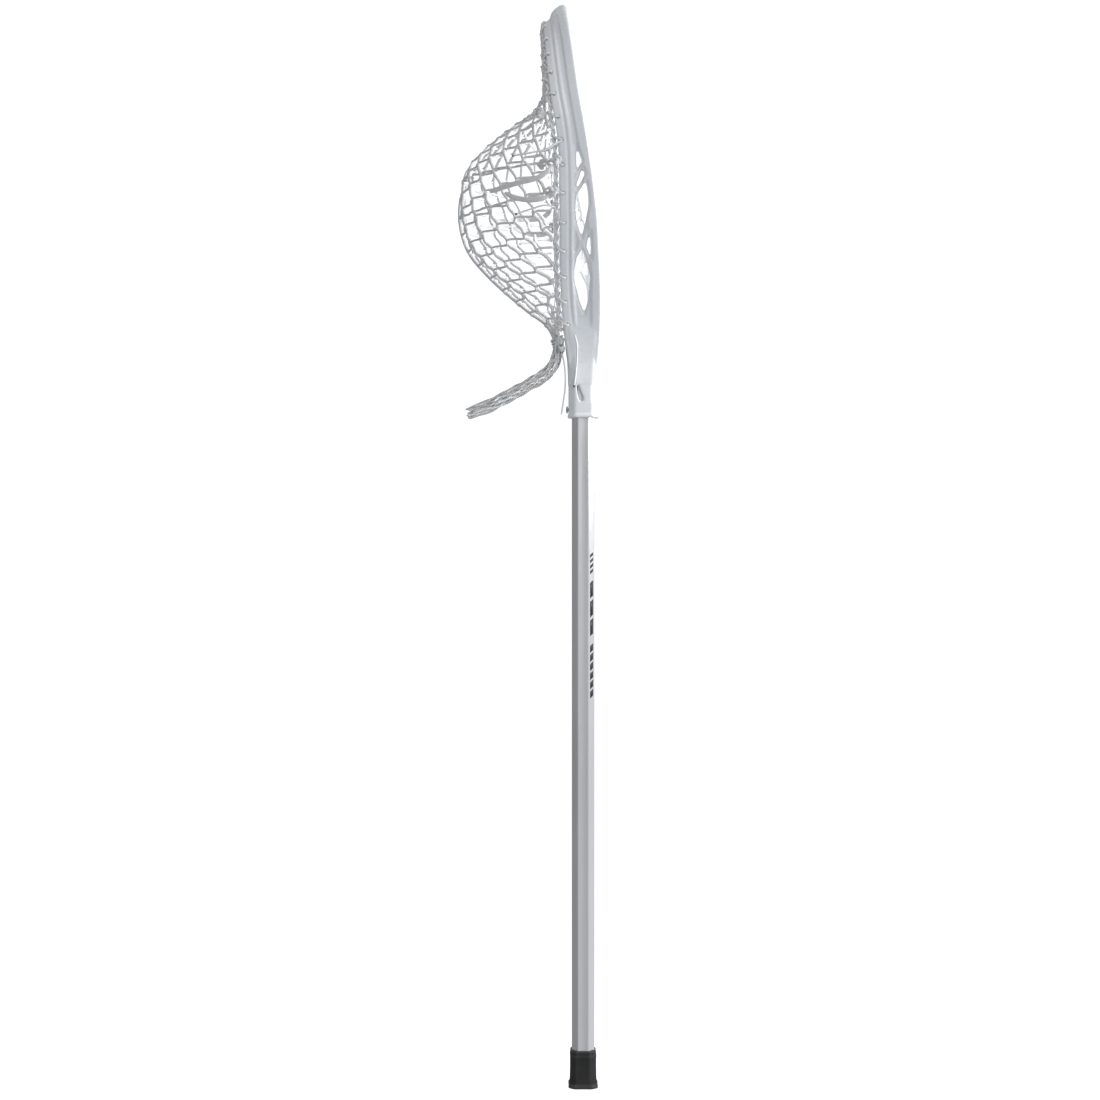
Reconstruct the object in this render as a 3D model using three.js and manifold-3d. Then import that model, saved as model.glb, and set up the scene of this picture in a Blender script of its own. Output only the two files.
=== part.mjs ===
// Goalie lacrosse stick: an octagonal aluminium shaft with a rubber butt cap, and a moulded head
// strung with a deep mesh pocket. Millimetres. The origin is the middle of the cap's flat base,
// +Z runs up the shaft, +X is the open face of the head and -X the side that the pocket hangs on.
import * as THREE from "three";
import { mergeVertices } from "three/addons/utils/BufferGeometryUtils.js";
import Module from "manifold-3d";

const wasm = await Module();
wasm.setup();

// ---- Driving dimensions ----
const CUT_PAST = 1; // a cut runs this far past the face that it opens
const GAP = 0.35; // clearance kept between pieces that touch

const SHAFT = { halfX: 11.65, halfY: 12.7, bevel: 5.9, wall: 1.4, bottom: 6.6, top: 768, hollow: 0.45 };

const CAP = {
  height: 39, floor: 6.2, flangeHeight: 5.2, flange: 3.6, flangeEdge: 1.4, shoulder: 2.3, topWall: 0.85,
};
const CAP_LIP = { bottom: 31, top: 33, proud: 0.7 };

// The collar round the shaft and the throat above it: octagons as [z, back, front, half width, bevel].
const COLLAR = { bottom: 691.4, back: -15.1, front: 15.6, halfY: 16.6, bevel: 6.2 };
const THROAT_RINGS = [
  [COLLAR.bottom, -16, 16.5, 17.5, 6.6], [694.4, -16, 16.5, 17.5, 6.6],
  [695.4, COLLAR.back, COLLAR.front, COLLAR.halfY, COLLAR.bevel],
  [706.4, COLLAR.back, COLLAR.front, COLLAR.halfY, COLLAR.bevel],
  [708.4, COLLAR.back, 14.6, COLLAR.halfY, COLLAR.bevel],
  [724.4, COLLAR.back, 14.6, COLLAR.halfY, COLLAR.bevel],
  [726.4, -15.5, 16.2, 16.9, 6.2], [750, -16.4, 16.6, 17.6, 5.6], [764, -18, 17, 22.4, 5],
  [780, -18.6, 16.6, 31, 4], [798, -17, 14, 41.5, 4], [814, -14, 10, 58, 3],
];
const SOCKET_TOP = SHAFT.top + 1.5;

const SCREW = {
  z: 700, headRadius: 4, headHeight: 2.1, shankRadius: 1.9, shankLength: 11.5, shankRoot: 0.5, standOff: 0.3,
};
const SCREW_SLOT = { width: 1.1, length: 5.6, depth: 1 };
const SCREW_HOLE_RADIUS = SCREW.shankRadius + GAP;

// Front rail, the arched edge that faces +X, and back rail, which the pocket is strung to.
// Each point is [x, half width, z], from the throat up to the middle of the scoop.
const FRONT_RAIL = [
  [14.8, 12, 736], [17.6, 26, 772], [18, 45, 797], [17.2, 71, 824], [15.2, 96, 852], [12.8, 118, 883],
  [8.6, 136, 915], [3.8, 147, 945], [-1.4, 152.5, 975], [-6.8, 152, 1005], [-11, 143, 1035],
  [-14.6, 125, 1062], [-17.2, 98, 1085], [-18.8, 62, 1103], [-19.2, 30, 1112], [-19.4, 0, 1115],
];
const BACK_RAIL = [
  [-14, 12, 736], [-18.8, 25.5, 772], [-22, 43, 797], [-24, 68, 824], [-24.6, 92, 852], [-25, 113, 883],
  [-25.6, 130, 915], [-26.6, 140.5, 945], [-29.6, 145.5, 970], [-34.2, 145.5, 996], [-37.4, 137, 1022],
  [-39.3, 121, 1045], [-41, 96, 1066], [-42, 64, 1082], [-42.3, 31, 1090.5], [-42.4, 0, 1093],
];
const RAIL = { frontDepth: 9.5, backDepth: 14.5, thick: 6.6, wall: 3.4, recess: 1.6, edge: 1.3 };
const RAIL_STEPS = 26; // stations along half of the head
const SCOOP_FADE = { start: 0.05, end: 0.16 }; // where the sidewall's recess dies out beside the scoop

// Truss openings in each sidewall, as [x, z] outlines seen along Y.
const WINDOWS = [
  [[-8.6, 949], [-3.2, 934], [-8.2, 926.5]],
  [[-2.4, 928], [-0.4, 922], [-7.6, 909.5], [-8.8, 912]],
  [[0.8, 916], [2.9, 905], [3.6, 895], [0.9, 880], [-3, 865], [-8, 880], [-9.2, 891], [-8.6, 903]],
  [[5.4, 870], [6.8, 845], [1.6, 857]],
  [[-2.4, 854.5], [3.4, 841], [5.6, 831], [5.4, 820], [4, 807], [0.6, 796.5], [-4, 807], [-9, 824],
    [-9.8, 835], [-7.4, 847]],
  [[-8.8, 868], [-8, 861], [-9.4, 854]],
];

const HEAD_HALF_WIDTH = 180; // a cut that reaches this far passes all of one side
const WINDOW_INNER_Y = 30;

const MOUTH = { radius: 70, z: 856 }; // the round bottom of the head's mouth
const BALL_STOP = { thick: 4.2, room: 0.5, halfAngle: 0.45, back: -13.5, front: 12 };
// A narrow drop with a round foot, through both sides of the collar, as an [x, z] outline.
const TEARDROP = [
  [-6.6, 726], [-6.2, 717], [-4.2, 709.4], [-2.6, 708], [-0.4, 708.6], [0.4, 711], [-2, 717], [-5, 725],
];

// Holes in the string rail. Places are shares of the rail's length on the -Y side, and over the scoop.
const STRING_HOLES = {
  radius: 1.6, inset: 4.6, sides: 6, perSide: 13, sideFrom: 0.05, sideTo: 0.385, perScoop: 8,
  scoopFrom: 0.42, scoopTo: 0.58,
};

// Rows of the pocket from the scoop to the throat: [x of its middle, z of its middle, z of its edge].
const POCKET_ROWS = [
  [-47.5, 1085, 1066], [-45, 1045, 1030], [-52, 998, 984], [-78, 979, 969], [-102, 961, 956],
  [-120, 943, 943], [-128, 914, 920], [-128, 890, 903], [-119.5, 861, 875], [-98.5, 831, 847],
  [-59, 799, 816], [-39, 785, 797], [-28.5, 770, 777],
];
const POCKET = {
  thick: 3, behindRail: 5.6, insideRail: 4.2, roundness: 2.2, rowSteps: 24, halfColumns: 8, laceRoom: 0.8,
};

const MESH_TAIL = {
  path: [[-26.5, 766], [-27, 757], [-31, 746], [-40, 736], [-56, 726], [-75, 716], [-96, 706], [-122, 697]],
  halfWidth: [10, 14, 17, 18, 18, 18, 19, 16],
  halfThick: [5, 6, 6.5, 7, 7, 6.5, 6, 4.5],
  steps: 18,
  sides: 12,
};

const STRING_RADIUS = 1.2; // round nylon stringing cord
const STRING_END_RADIUS = 0.9; // its free ends, pulled thin
const STRING_SEAT = 0.9; // how far a string lies behind the rail
const SIDEWALL_STRING = { from: 0.045, to: 0.395, steps: 34 };
const TOP_STRING = { from: 0.41, to: 0.59, steps: 20 };
const HEAD_MIDDLE_Z = 950;
const THROAT_STRING = [
  [-20.6, -17, 772], [-29, -18.5, 769], [-36, -12, 765], [-37.6, 0, 763.5],
  [-36, 12, 765], [-29, 18.5, 769], [-20.6, 17, 772],
];
// The woven shooting laces: their radius, their knots, and how they pass the rail and run in the pocket.
const LACE = { radius: 1.8, knotRadius: 4.8, pass: 6.2, bendIn: 3, bendOut: 2, offset: 5.2, reach: 0.9 };
const LACES = [
  { z: 979, knotBehind: 12.6, knotOut: 3 },
  { z: 934.5, knotBehind: 2.6, knotOut: 5.9 },
  { z: 906.5, knotBehind: 5.8, knotOut: 5.4 },
];

// Free ends of the laces and strings, as [x, y, z] routes on the -Y side of the head.
const LACE_TAILS = {
  2: [[-32.4, -143.6, 929.9], [-37, -144, 923.5], [-44, -142, 918.6], [-54, -136.5, 916], [-64, -129, 915],
    [-79, -117, 912.4], [-94, -103, 909.6]],
  3: [[-34.7, -132.5, 901.4], [-41, -131.5, 899.2], [-54, -125, 898.4], [-69, -115.5, 902.3],
    [-79, -107, 908.5]],
};
const STRING_TAILS = {
  1: [[-22, -146, 953.4], [-27, -147.6, 950.6], [-32.5, -148.4, 947.4], [-39, -147.5, 944],
    [-53.7, -142, 941.8], [-71.4, -132, 940.4]],
  2: [[-29.4, -121.6, 891.6], [-33, -123.6, 892.6], [-40, -125, 893.2], [-53.6, -121, 889.9],
    [-68.6, -113, 886]],
};
const STRING_END = [
  [-9, -32.6, 775], [-6.6, -27.8, 765], [-6.4, -22.8, 752], [-7.6, -19.8, 738], [-9.4, -18.8, 722],
];
const THROAT_END = [
  [-22.2, -14.5, 758], [-19.6, -14.8, 747], [-18.4, -14.6, 735], [-18.6, -14, 722], [-20.4, -13.2, 708],
  [-22.6, -12.4, 694],
];

// ---- Materials ----
const finish = (color, roughness, metalness = 0) =>
  new THREE.MeshStandardMaterial({ color, roughness, metalness });
const HEAD_PLASTIC = finish(0xf2f4f6, 0.35);
const FOAM = finish(0xb9c4cf, 0.9);
const ALUMINIUM = finish(0xb9babc, 0.35, 1);
const RUBBER = finish(0x242424, 0.75);
const STEEL = finish(0x9a9c9e, 0.3, 1);
const NYLON = finish(0xe6e7e8, 0.7);
const WOVEN = finish(0xf0f0f0, 0.85);

// ---- Shape helpers ----

// A closed three.js geometry as a manifold-3d solid.
function solidOf(geometry) {
  const bare = geometry.clone();
  bare.deleteAttribute("normal");
  bare.deleteAttribute("uv");
  const merged = mergeVertices(bare, 1e-4);
  return new wasm.Manifold(
    new wasm.Mesh({
      numProp: 3,
      vertProperties: new Float32Array(merged.attributes.position.array),
      triVerts: new Uint32Array(merged.index.array),
    }),
  );
}

// A manifold-3d solid as a three.js geometry.
function geometryOf(solid) {
  const mesh = solid.getMesh();
  const geometry = new THREE.BufferGeometry();
  geometry.setAttribute("position", new THREE.BufferAttribute(new Float32Array(mesh.vertProperties), 3));
  geometry.setIndex(new THREE.BufferAttribute(new Uint32Array(mesh.triVerts), 1));
  geometry.computeVertexNormals();
  return geometry;
}

function join(solids) {
  return solids.reduce((whole, piece) => whole.add(piece));
}

// A closed skin over rings with the same number of points, with a flat fan at each end.
function loft(rings) {
  const count = rings[0].length;
  const points = rings.flat();
  const index = [];
  rings.slice(1).forEach((_, r) => {
    for (let i = 0; i < count; i++) {
      const a = r * count + i;
      const b = r * count + ((i + 1) % count);
      index.push(a, b, b + count, a, b + count, a + count);
    }
  });
  for (let i = 1; i < count - 1; i++) {
    const last = (rings.length - 1) * count;
    index.push(0, i + 1, i);
    index.push(last, last + i, last + i + 1);
  }
  const geometry = new THREE.BufferGeometry().setFromPoints(points);
  geometry.setIndex(index);
  return turnedOut(geometry);
}

// The same geometry with its faces turned outwards.
function turnedOut(geometry) {
  if (signedVolume(geometry) < 0) geometry.index.array.reverse();
  return geometry;
}

function signedVolume(geometry) {
  const { position } = geometry.attributes;
  const at = (i) => new THREE.Vector3().fromBufferAttribute(position, geometry.index.array[i]);
  let six = 0;
  for (let i = 0; i < geometry.index.count; i += 3) six += at(i).cross(at(i + 1)).dot(at(i + 2));
  return six;
}

// A flat outline of [x, z] points pushed through from y0 to y1.
function prismAlongY(outline, y0, y1) {
  const shape = new THREE.Shape(outline.map(([x, z]) => new THREE.Vector2(x, z)));
  const geometry = new THREE.ExtrudeGeometry(shape, { depth: y1 - y0, bevelEnabled: false });
  return geometry.rotateX(Math.PI / 2).translate(0, y1, 0);
}

// A round cord through [x, y, z] points, with a step about every three diameters of pitch.
function cord(points, radius, pitch = radius) {
  const sides = 8;
  const path = new THREE.CatmullRomCurve3(points.map((p) => new THREE.Vector3(...p)));
  const section = new THREE.Shape();
  for (let i = 0; i < sides; i++) {
    const angle = (i / sides) * Math.PI * 2;
    const move = i === 0 ? "moveTo" : "lineTo";
    section[move](radius * Math.cos(angle), radius * Math.sin(angle));
  }
  const steps = Math.max(4, Math.min(80, Math.round(path.getLength() / (6 * pitch))));
  return new THREE.ExtrudeGeometry(section, { steps, extrudePath: path, bevelEnabled: false });
}

// An octagon about the Z axis, as a list of [x, y] corners.
function octagon(back, front, halfY, bevel) {
  return [
    [front, -halfY + bevel], [front, halfY - bevel], [front - bevel, halfY], [back + bevel, halfY],
    [back, halfY - bevel], [back, -halfY + bevel], [back + bevel, -halfY], [front - bevel, -halfY],
  ];
}

const ringAt = (corners, z) => corners.map(([x, y]) => new THREE.Vector3(x, y, z));

const mirrored = (points) => points.map(([x, y, z]) => [x, -y, z]);

// ---- Shaft ----

// The shaft's octagon grown by a margin. Its four wide faces are slightly hollow.
function shaftOutline(margin, hollow) {
  const { halfX, halfY, bevel } = SHAFT;
  const corners = octagon(-halfX - margin, halfX + margin, halfY + margin, bevel);
  return corners.flatMap((corner, i) => {
    const next = corners[(i + 1) % corners.length];
    const middle = [(corner[0] + next[0]) / 2, (corner[1] + next[1]) / 2];
    const alongX = i % 4 === 2;
    const alongY = i % 4 === 0;
    if (alongX) middle[1] -= Math.sign(middle[1]) * hollow;
    if (alongY) middle[0] -= Math.sign(middle[0]) * hollow;
    return alongX || alongY ? [corner, middle] : [corner];
  });
}

function makeShaft() {
  const length = (margin, bottom, top) => {
    const outline = shaftOutline(margin, SHAFT.hollow);
    return solidOf(loft([ringAt(outline, bottom), ringAt(outline, top)]));
  };
  const bore = length(-SHAFT.wall, SHAFT.bottom - CUT_PAST, SHAFT.top + CUT_PAST);
  const backHole = screwHole(-SHAFT.halfX - SHAFT.wall, -SHAFT.halfX + 2 * SHAFT.wall);
  return geometryOf(length(0, SHAFT.bottom, SHAFT.top).subtract(bore).subtract(backHole));
}

// ---- Screw ----
function cylinderAlongX(radius, x0, x1, z, sides) {
  const geometry = new THREE.CylinderGeometry(radius, radius, x1 - x0, sides);
  return geometry.rotateZ(Math.PI / 2).translate((x0 + x1) / 2, 0, z);
}

const screwHole = (x0, x1) => solidOf(cylinderAlongX(SCREW_HOLE_RADIUS, x0, x1, SCREW.z, 12));

function makeScrew() {
  const seat = COLLAR.back - SCREW.standOff - GAP;
  const top = seat - SCREW.headHeight;
  const tip = seat + SCREW.shankLength;
  const head = cylinderAlongX(SCREW.headRadius, top, seat, SCREW.z, 16);
  const shank = cylinderAlongX(SCREW.shankRadius, seat - SCREW.shankRoot, tip, SCREW.z, 12);
  const { width, length, depth } = SCREW_SLOT;
  const slot = new THREE.BoxGeometry(2 * depth, width, length).translate(top, 0, SCREW.z);
  const cross = new THREE.BoxGeometry(2 * depth, length, width).translate(top, 0, SCREW.z);
  return geometryOf(join([head, shank].map(solidOf)).subtract(solidOf(slot)).subtract(solidOf(cross)));
}

// ---- Butt cap ----
function makeCap() {
  const ring = (margin, z) => ringAt(shaftOutline(margin, 0), z);
  const neck = CAP.topWall + GAP;
  const body = loft([
    ring(CAP.flange, 0), ring(CAP.flange, CAP.flangeHeight - CAP.flangeEdge),
    ring(CAP.shoulder, CAP.flangeHeight),
    ring(neck + CAP_LIP.proud, CAP_LIP.bottom), ring(neck, CAP_LIP.top), ring(neck, CAP.height),
  ]);
  const well = loft([ring(GAP, CAP.floor), ring(GAP, CAP.height + CUT_PAST)]);
  return geometryOf(solidOf(body).subtract(solidOf(well)));
}

// ---- Head ----
function railCurve(points) {
  const both = [...mirrored(points), ...points.slice(0, -1).reverse()];
  return new THREE.CatmullRomCurve3(both.map((p) => new THREE.Vector3(...p)), false, "centripetal");
}
const frontCurve = railCurve(FRONT_RAIL);
const backCurve = railCurve(BACK_RAIL);

// The back rail's point at a height, on the -Y side.
function backRailAt(z) {
  let low = 0;
  let high = 0.5;
  for (let i = 0; i < 30; i++) {
    const middle = (low + high) / 2;
    if (backCurve.getPoint(middle).z < z) low = middle;
    else high = middle;
  }
  return backCurve.getPoint(low);
}

// One cross-section of the head's wall: a thick front rail, a thin web and a deep back rail.
// u runs from -Y throat (0) over the scoop (0.5) to +Y throat (1).
function wallSection(u) {
  const front = frontCurve.getPoint(u);
  const back = backCurve.getPoint(u);
  const along = back.clone().sub(front);
  const depth = along.length();
  along.normalize();
  const tangent = frontCurve.getTangent(u).add(backCurve.getTangent(u)).normalize();
  const inward = new THREE.Vector3().crossVectors(along, tangent).normalize();
  const { frontDepth, backDepth, thick, wall, edge } = RAIL;
  const fromScoop = Math.abs(u - 0.5);
  const recess = RAIL.recess * THREE.MathUtils.smoothstep(fromScoop, SCOOP_FADE.start, SCOOP_FADE.end);
  const web = depth - backDepth;
  const corners = [
    [0, edge], [edge, 0], [frontDepth, 0], [frontDepth + recess, recess], [web, recess], [web + 1, 0],
    [depth - edge, 0], [depth, edge], [depth, thick - edge], [depth - edge, thick],
    [web + 1, thick], [web, recess + wall], [frontDepth + recess, recess + wall], [frontDepth, thick],
    [edge, thick], [0, thick - edge],
  ];
  return corners.map(([d, n]) => front.clone().addScaledVector(along, d).addScaledVector(inward, n));
}

function makeHeadWall() {
  const rings = [];
  for (let i = 0; i <= 2 * RAIL_STEPS; i++) rings.push(wallSection(i / (2 * RAIL_STEPS)));
  return loft(rings);
}

// The collar round the shaft, flaring up into the sidewalls, with the round bottom of the mouth.
function makeThroat() {
  const body = loft(THROAT_RINGS.map(([z, ...sizes]) => ringAt(octagon(...sizes), z)));
  const depth = 2 * (SHAFT.halfX + MOUTH.radius);
  const mouth = new THREE.CylinderGeometry(MOUTH.radius, MOUTH.radius, depth, 48)
    .rotateZ(Math.PI / 2)
    .translate(0, 0, MOUTH.z);
  return solidOf(body).subtract(solidOf(mouth));
}

// Holes for the stringing, through the back rail from its outer to its inner face.
function makeStringHole(u) {
  const back = backCurve.getPoint(u);
  const along = back.clone().sub(frontCurve.getPoint(u)).normalize();
  const tangent = backCurve.getTangent(u);
  const inward = new THREE.Vector3().crossVectors(along, tangent).normalize();
  const middle = back.addScaledVector(along, -STRING_HOLES.inset).addScaledVector(inward, RAIL.thick / 2);
  const turn = new THREE.Quaternion().setFromUnitVectors(new THREE.Vector3(0, 1, 0), inward);
  const { radius, sides } = STRING_HOLES;
  const hole = new THREE.CylinderGeometry(radius, radius, RAIL.thick * 2, sides);
  return solidOf(hole.applyQuaternion(turn).translate(middle.x, middle.y, middle.z));
}

function stringHolePlaces() {
  const { perSide, sideFrom, sideTo, perScoop, scoopFrom, scoopTo } = STRING_HOLES;
  const places = [];
  for (let i = 0; i < perSide; i++) {
    const u = THREE.MathUtils.lerp(sideFrom, sideTo, i / (perSide - 1));
    places.push(u, 1 - u);
  }
  for (let i = 0; i < perScoop; i++) {
    places.push(THREE.MathUtils.lerp(scoopFrom, scoopTo, i / (perScoop - 1)));
  }
  return places;
}

function makeHead() {
  const outline = shaftOutline(GAP, 0);
  const socket = loft([ringAt(outline, COLLAR.bottom - 1), ringAt(outline, SOCKET_TOP)]);
  const windows = WINDOWS.flatMap((window) => [
    prismAlongY(window, -HEAD_HALF_WIDTH, -WINDOW_INNER_Y),
    prismAlongY(window, WINDOW_INNER_Y, HEAD_HALF_WIDTH),
  ]);
  const cuts = [
    solidOf(socket),
    solidOf(prismAlongY(TEARDROP, -2 * COLLAR.halfY, 2 * COLLAR.halfY)),
    screwHole(COLLAR.back - 3, -SHAFT.halfX + 2),
    ...windows.map(solidOf),
    ...stringHolePlaces().map(makeStringHole),
  ];
  const body = makeThroat().add(solidOf(makeHeadWall()));
  return geometryOf(cuts.reduce((left, cut) => left.subtract(cut), body));
}

// A curved foam strip on the bottom of the mouth.
function makeBallStop() {
  const { thick, room, halfAngle, back, front } = BALL_STOP;
  const outline = new THREE.Shape();
  const outer = MOUTH.radius - room;
  const down = -Math.PI / 2;
  outline.absarc(0, 0, outer, down - halfAngle, down + halfAngle, false);
  outline.absarc(0, 0, outer - thick, down + halfAngle, down - halfAngle, true);
  const settings = { depth: front - back, bevelEnabled: false, curveSegments: 12 };
  const pad = new THREE.ExtrudeGeometry(outline, settings);
  return pad.rotateY(Math.PI / 2).rotateX(Math.PI / 2).translate(back, 0, MOUTH.z);
}

// ---- Pocket ----
const pocketMiddle = new THREE.CatmullRomCurve3(POCKET_ROWS.map(([x, z]) => new THREE.Vector3(x, 0, z)));
const pocketEdge = new THREE.CatmullRomCurve3(
  POCKET_ROWS.map(([, , z]) => {
    const rail = backRailAt(z);
    return new THREE.Vector3(rail.x - POCKET.behindRail, rail.y + POCKET.insideRail, z);
  }),
);

// A point of the pocket: row from 0 at the scoop to 1 at the throat, across from -1 at -Y to 1 at +Y.
function pocketPoint(row, across) {
  const middle = pocketMiddle.getPoint(row);
  const edge = pocketEdge.getPoint(row);
  const bulge = 1 - Math.abs(across) ** POCKET.roundness;
  return new THREE.Vector3(
    edge.x + (middle.x - edge.x) * bulge,
    -edge.y * across,
    edge.z + (middle.z - edge.z) * (1 - across * across),
  );
}

// The direction out of the pocket, away from the ball.
function pocketOutward(row, across) {
  const step = 0.004;
  const r0 = Math.max(0, row - step);
  const r1 = Math.min(1, row + step);
  const a0 = Math.max(-1, across - step);
  const a1 = Math.min(1, across + step);
  const down = pocketPoint(r1, across).sub(pocketPoint(r0, across));
  const side = pocketPoint(row, a1).sub(pocketPoint(row, a0));
  return side.cross(down).normalize();
}

function makePocket() {
  const rings = [];
  const { rowSteps, halfColumns, thick } = POCKET;
  for (let r = 0; r <= rowSteps; r++) {
    const row = r / rowSteps;
    const ring = [];
    for (let c = -halfColumns; c <= halfColumns; c++) {
      const across = c / halfColumns;
      ring.push(pocketPoint(row, across).addScaledVector(pocketOutward(row, across), thick / 2));
    }
    for (let c = halfColumns; c >= -halfColumns; c--) {
      const across = c / halfColumns;
      ring.push(pocketPoint(row, across).addScaledVector(pocketOutward(row, across), -thick / 2));
    }
    rings.push(ring);
  }
  const shell = solidOf(stripLoft(rings, 2 * halfColumns + 1));
  const room = LACE.radius + POCKET.laceRoom;
  const slots = LACES.map((lace) => solidOf(cord(laceRoute(lace), room, LACE.radius)));
  return geometryOf(slots.reduce((left, slot) => left.subtract(slot), shell));
}

// A loft whose end caps are strips between the two halves of the ring, for thin curved sheets.
function stripLoft(rings, half) {
  const count = 2 * half;
  const index = [];
  rings.slice(1).forEach((_, r) => {
    for (let i = 0; i < count; i++) {
      const a = r * count + i;
      const b = r * count + ((i + 1) % count);
      index.push(a, b, b + count, a, b + count, a + count);
    }
  });
  const last = (rings.length - 1) * count;
  for (let i = 0; i < half - 1; i++) {
    const j = count - 1 - i;
    index.push(i, j, i + 1, i + 1, j, j - 1);
    index.push(last + i, last + i + 1, last + j, last + i + 1, last + j - 1, last + j);
  }
  const geometry = new THREE.BufferGeometry().setFromPoints(rings.flat());
  geometry.setIndex(index);
  return turnedOut(geometry);
}

// The spare mesh below the throat, gathered into a flat bunch.
function makeMeshTail() {
  const { path, halfWidth, halfThick, steps, sides } = MESH_TAIL;
  const curve = new THREE.CatmullRomCurve3(path.map(([x, z]) => new THREE.Vector3(x, 0, z)));
  const blend = (list, u) => {
    const place = u * (list.length - 1);
    const i = Math.min(list.length - 2, Math.floor(place));
    return THREE.MathUtils.lerp(list[i], list[i + 1], place - i);
  };
  const rings = [];
  for (let s = 0; s <= steps; s++) {
    const u = s / steps;
    const centre = curve.getPoint(u);
    const tangent = curve.getTangent(u);
    const normal = new THREE.Vector3(tangent.z, 0, -tangent.x);
    const ring = [];
    for (let i = 0; i < sides; i++) {
      const angle = (i / sides) * Math.PI * 2;
      const point = centre.clone().addScaledVector(normal, blend(halfThick, u) * Math.cos(angle));
      point.y = blend(halfWidth, u) * Math.sin(angle);
      ring.push(point);
    }
    rings.push(ring);
  }
  return loft(rings);
}

// ---- Stringing ----

// A cord laid along the back face of the string rail.
function railString({ from, to, steps }) {
  const points = [];
  for (let i = 0; i <= steps; i++) {
    const u = THREE.MathUtils.lerp(from, to, i / steps);
    const rail = backCurve.getPoint(u);
    const inward = new THREE.Vector3(0, -rail.y, HEAD_MIDDLE_Z - rail.z).normalize();
    points.push([
      rail.x - STRING_RADIUS - STRING_SEAT,
      rail.y + (RAIL.thick / 2) * inward.y,
      rail.z + (RAIL.thick / 2) * inward.z,
    ]);
  }
  return cord(points, STRING_RADIUS);
}

// The row of the pocket whose edge is at a height.
function rowAt(z) {
  let low = 0;
  let high = 1;
  for (let i = 0; i < 30; i++) {
    const middle = (low + high) / 2;
    if (pocketEdge.getPoint(middle).z > z) low = middle;
    else high = middle;
  }
  return low;
}

// A lace's route: from a knot behind the rail, round the rail, through the mesh and across the inside of
// the pocket to the other knot.
function laceRoute({ z, knotBehind, knotOut }) {
  const row = rowAt(z);
  const rail = backRailAt(z);
  const points = [
    [rail.x - knotBehind, rail.y - knotOut, z],
    [rail.x - Math.max(knotBehind - LACE.bendIn, LACE.pass), rail.y - LACE.bendOut, z],
  ];
  for (let i = -6; i <= 6; i++) {
    const across = (i / 6) * LACE.reach;
    const inside = pocketPoint(row, across).addScaledVector(pocketOutward(row, across), -LACE.offset);
    points.push(inside.toArray());
  }
  points.push(...mirrored(points.slice(0, 2).reverse()));
  return points;
}

function makeShootingString(lace) {
  const route = laceRoute(lace);
  const knots = [route[0], route.at(-1)].map(([x, y, z]) =>
    new THREE.SphereGeometry(LACE.knotRadius, 8, 6).translate(x, y, z),
  );
  return geometryOf(join([cord(route, LACE.radius), ...knots].map(solidOf)));
}

// ---- Assembly ----
const stick = new THREE.Group();

function place(name, geometry, material) {
  const mesh = new THREE.Mesh(geometry, material);
  mesh.name = name;
  stick.add(mesh);
}

place("shaft", makeShaft(), ALUMINIUM);
place("end_cap", makeCap(), RUBBER);
place("head_frame", makeHead(), HEAD_PLASTIC);
place("head_screw", makeScrew(), STEEL);
place("ball_stop", makeBallStop(), FOAM);
place("pocket_mesh", makePocket(), NYLON);
place("mesh_tail", makeMeshTail(), NYLON);
const { from, to, steps } = SIDEWALL_STRING;
place("sidewall_string_right", railString({ from, to, steps }), NYLON);
place("sidewall_string_left", railString({ from: 1 - from, to: 1 - to, steps }), NYLON);
place("top_string", railString(TOP_STRING), NYLON);
place("throat_string", cord(THROAT_STRING, STRING_RADIUS), NYLON); // ties the gathered mesh to the throat
LACES.forEach((lace, i) => place(`shooting_string_${i + 1}`, makeShootingString(lace), WOVEN));
for (const [number, route] of Object.entries(LACE_TAILS)) {
  place(`lace_tail_right_${number}`, cord(route, LACE.radius), WOVEN);
  place(`lace_tail_left_${number}`, cord(mirrored(route), LACE.radius), WOVEN);
}
for (const [number, route] of Object.entries(STRING_TAILS)) {
  place(`string_tail_right_${number}`, cord(route, STRING_END_RADIUS), NYLON);
  place(`string_tail_left_${number}`, cord(mirrored(route), STRING_END_RADIUS), NYLON);
}
place("string_end_right", cord(STRING_END, STRING_END_RADIUS), NYLON);
place("string_end_left", cord(mirrored(STRING_END), STRING_END_RADIUS), NYLON);
place("throat_string_end", cord(THROAT_END, STRING_END_RADIUS), NYLON);

export default stick;
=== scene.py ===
"""Looks of the goalie lacrosse stick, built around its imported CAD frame.

Shapes are worked out in millimetres, +Z up the shaft, +X the open face of the head, and become
metres when a mesh is made. The right side of the stick is its -Y side.
"""
import math

import bpy
import numpy as np
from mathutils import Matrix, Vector


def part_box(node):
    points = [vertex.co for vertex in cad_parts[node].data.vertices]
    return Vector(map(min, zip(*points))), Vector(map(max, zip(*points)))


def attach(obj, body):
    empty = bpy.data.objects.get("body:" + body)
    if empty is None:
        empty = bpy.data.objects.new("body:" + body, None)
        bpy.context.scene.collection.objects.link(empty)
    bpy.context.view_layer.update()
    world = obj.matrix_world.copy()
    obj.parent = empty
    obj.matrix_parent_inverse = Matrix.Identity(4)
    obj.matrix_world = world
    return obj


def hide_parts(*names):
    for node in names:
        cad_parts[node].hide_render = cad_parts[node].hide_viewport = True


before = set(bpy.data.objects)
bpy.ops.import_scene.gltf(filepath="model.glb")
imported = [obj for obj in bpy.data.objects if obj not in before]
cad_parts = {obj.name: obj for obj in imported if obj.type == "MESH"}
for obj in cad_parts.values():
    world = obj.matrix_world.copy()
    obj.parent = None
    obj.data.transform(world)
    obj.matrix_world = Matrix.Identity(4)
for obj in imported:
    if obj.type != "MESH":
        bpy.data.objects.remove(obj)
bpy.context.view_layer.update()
MM = 0.001
SEED = 7

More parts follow.
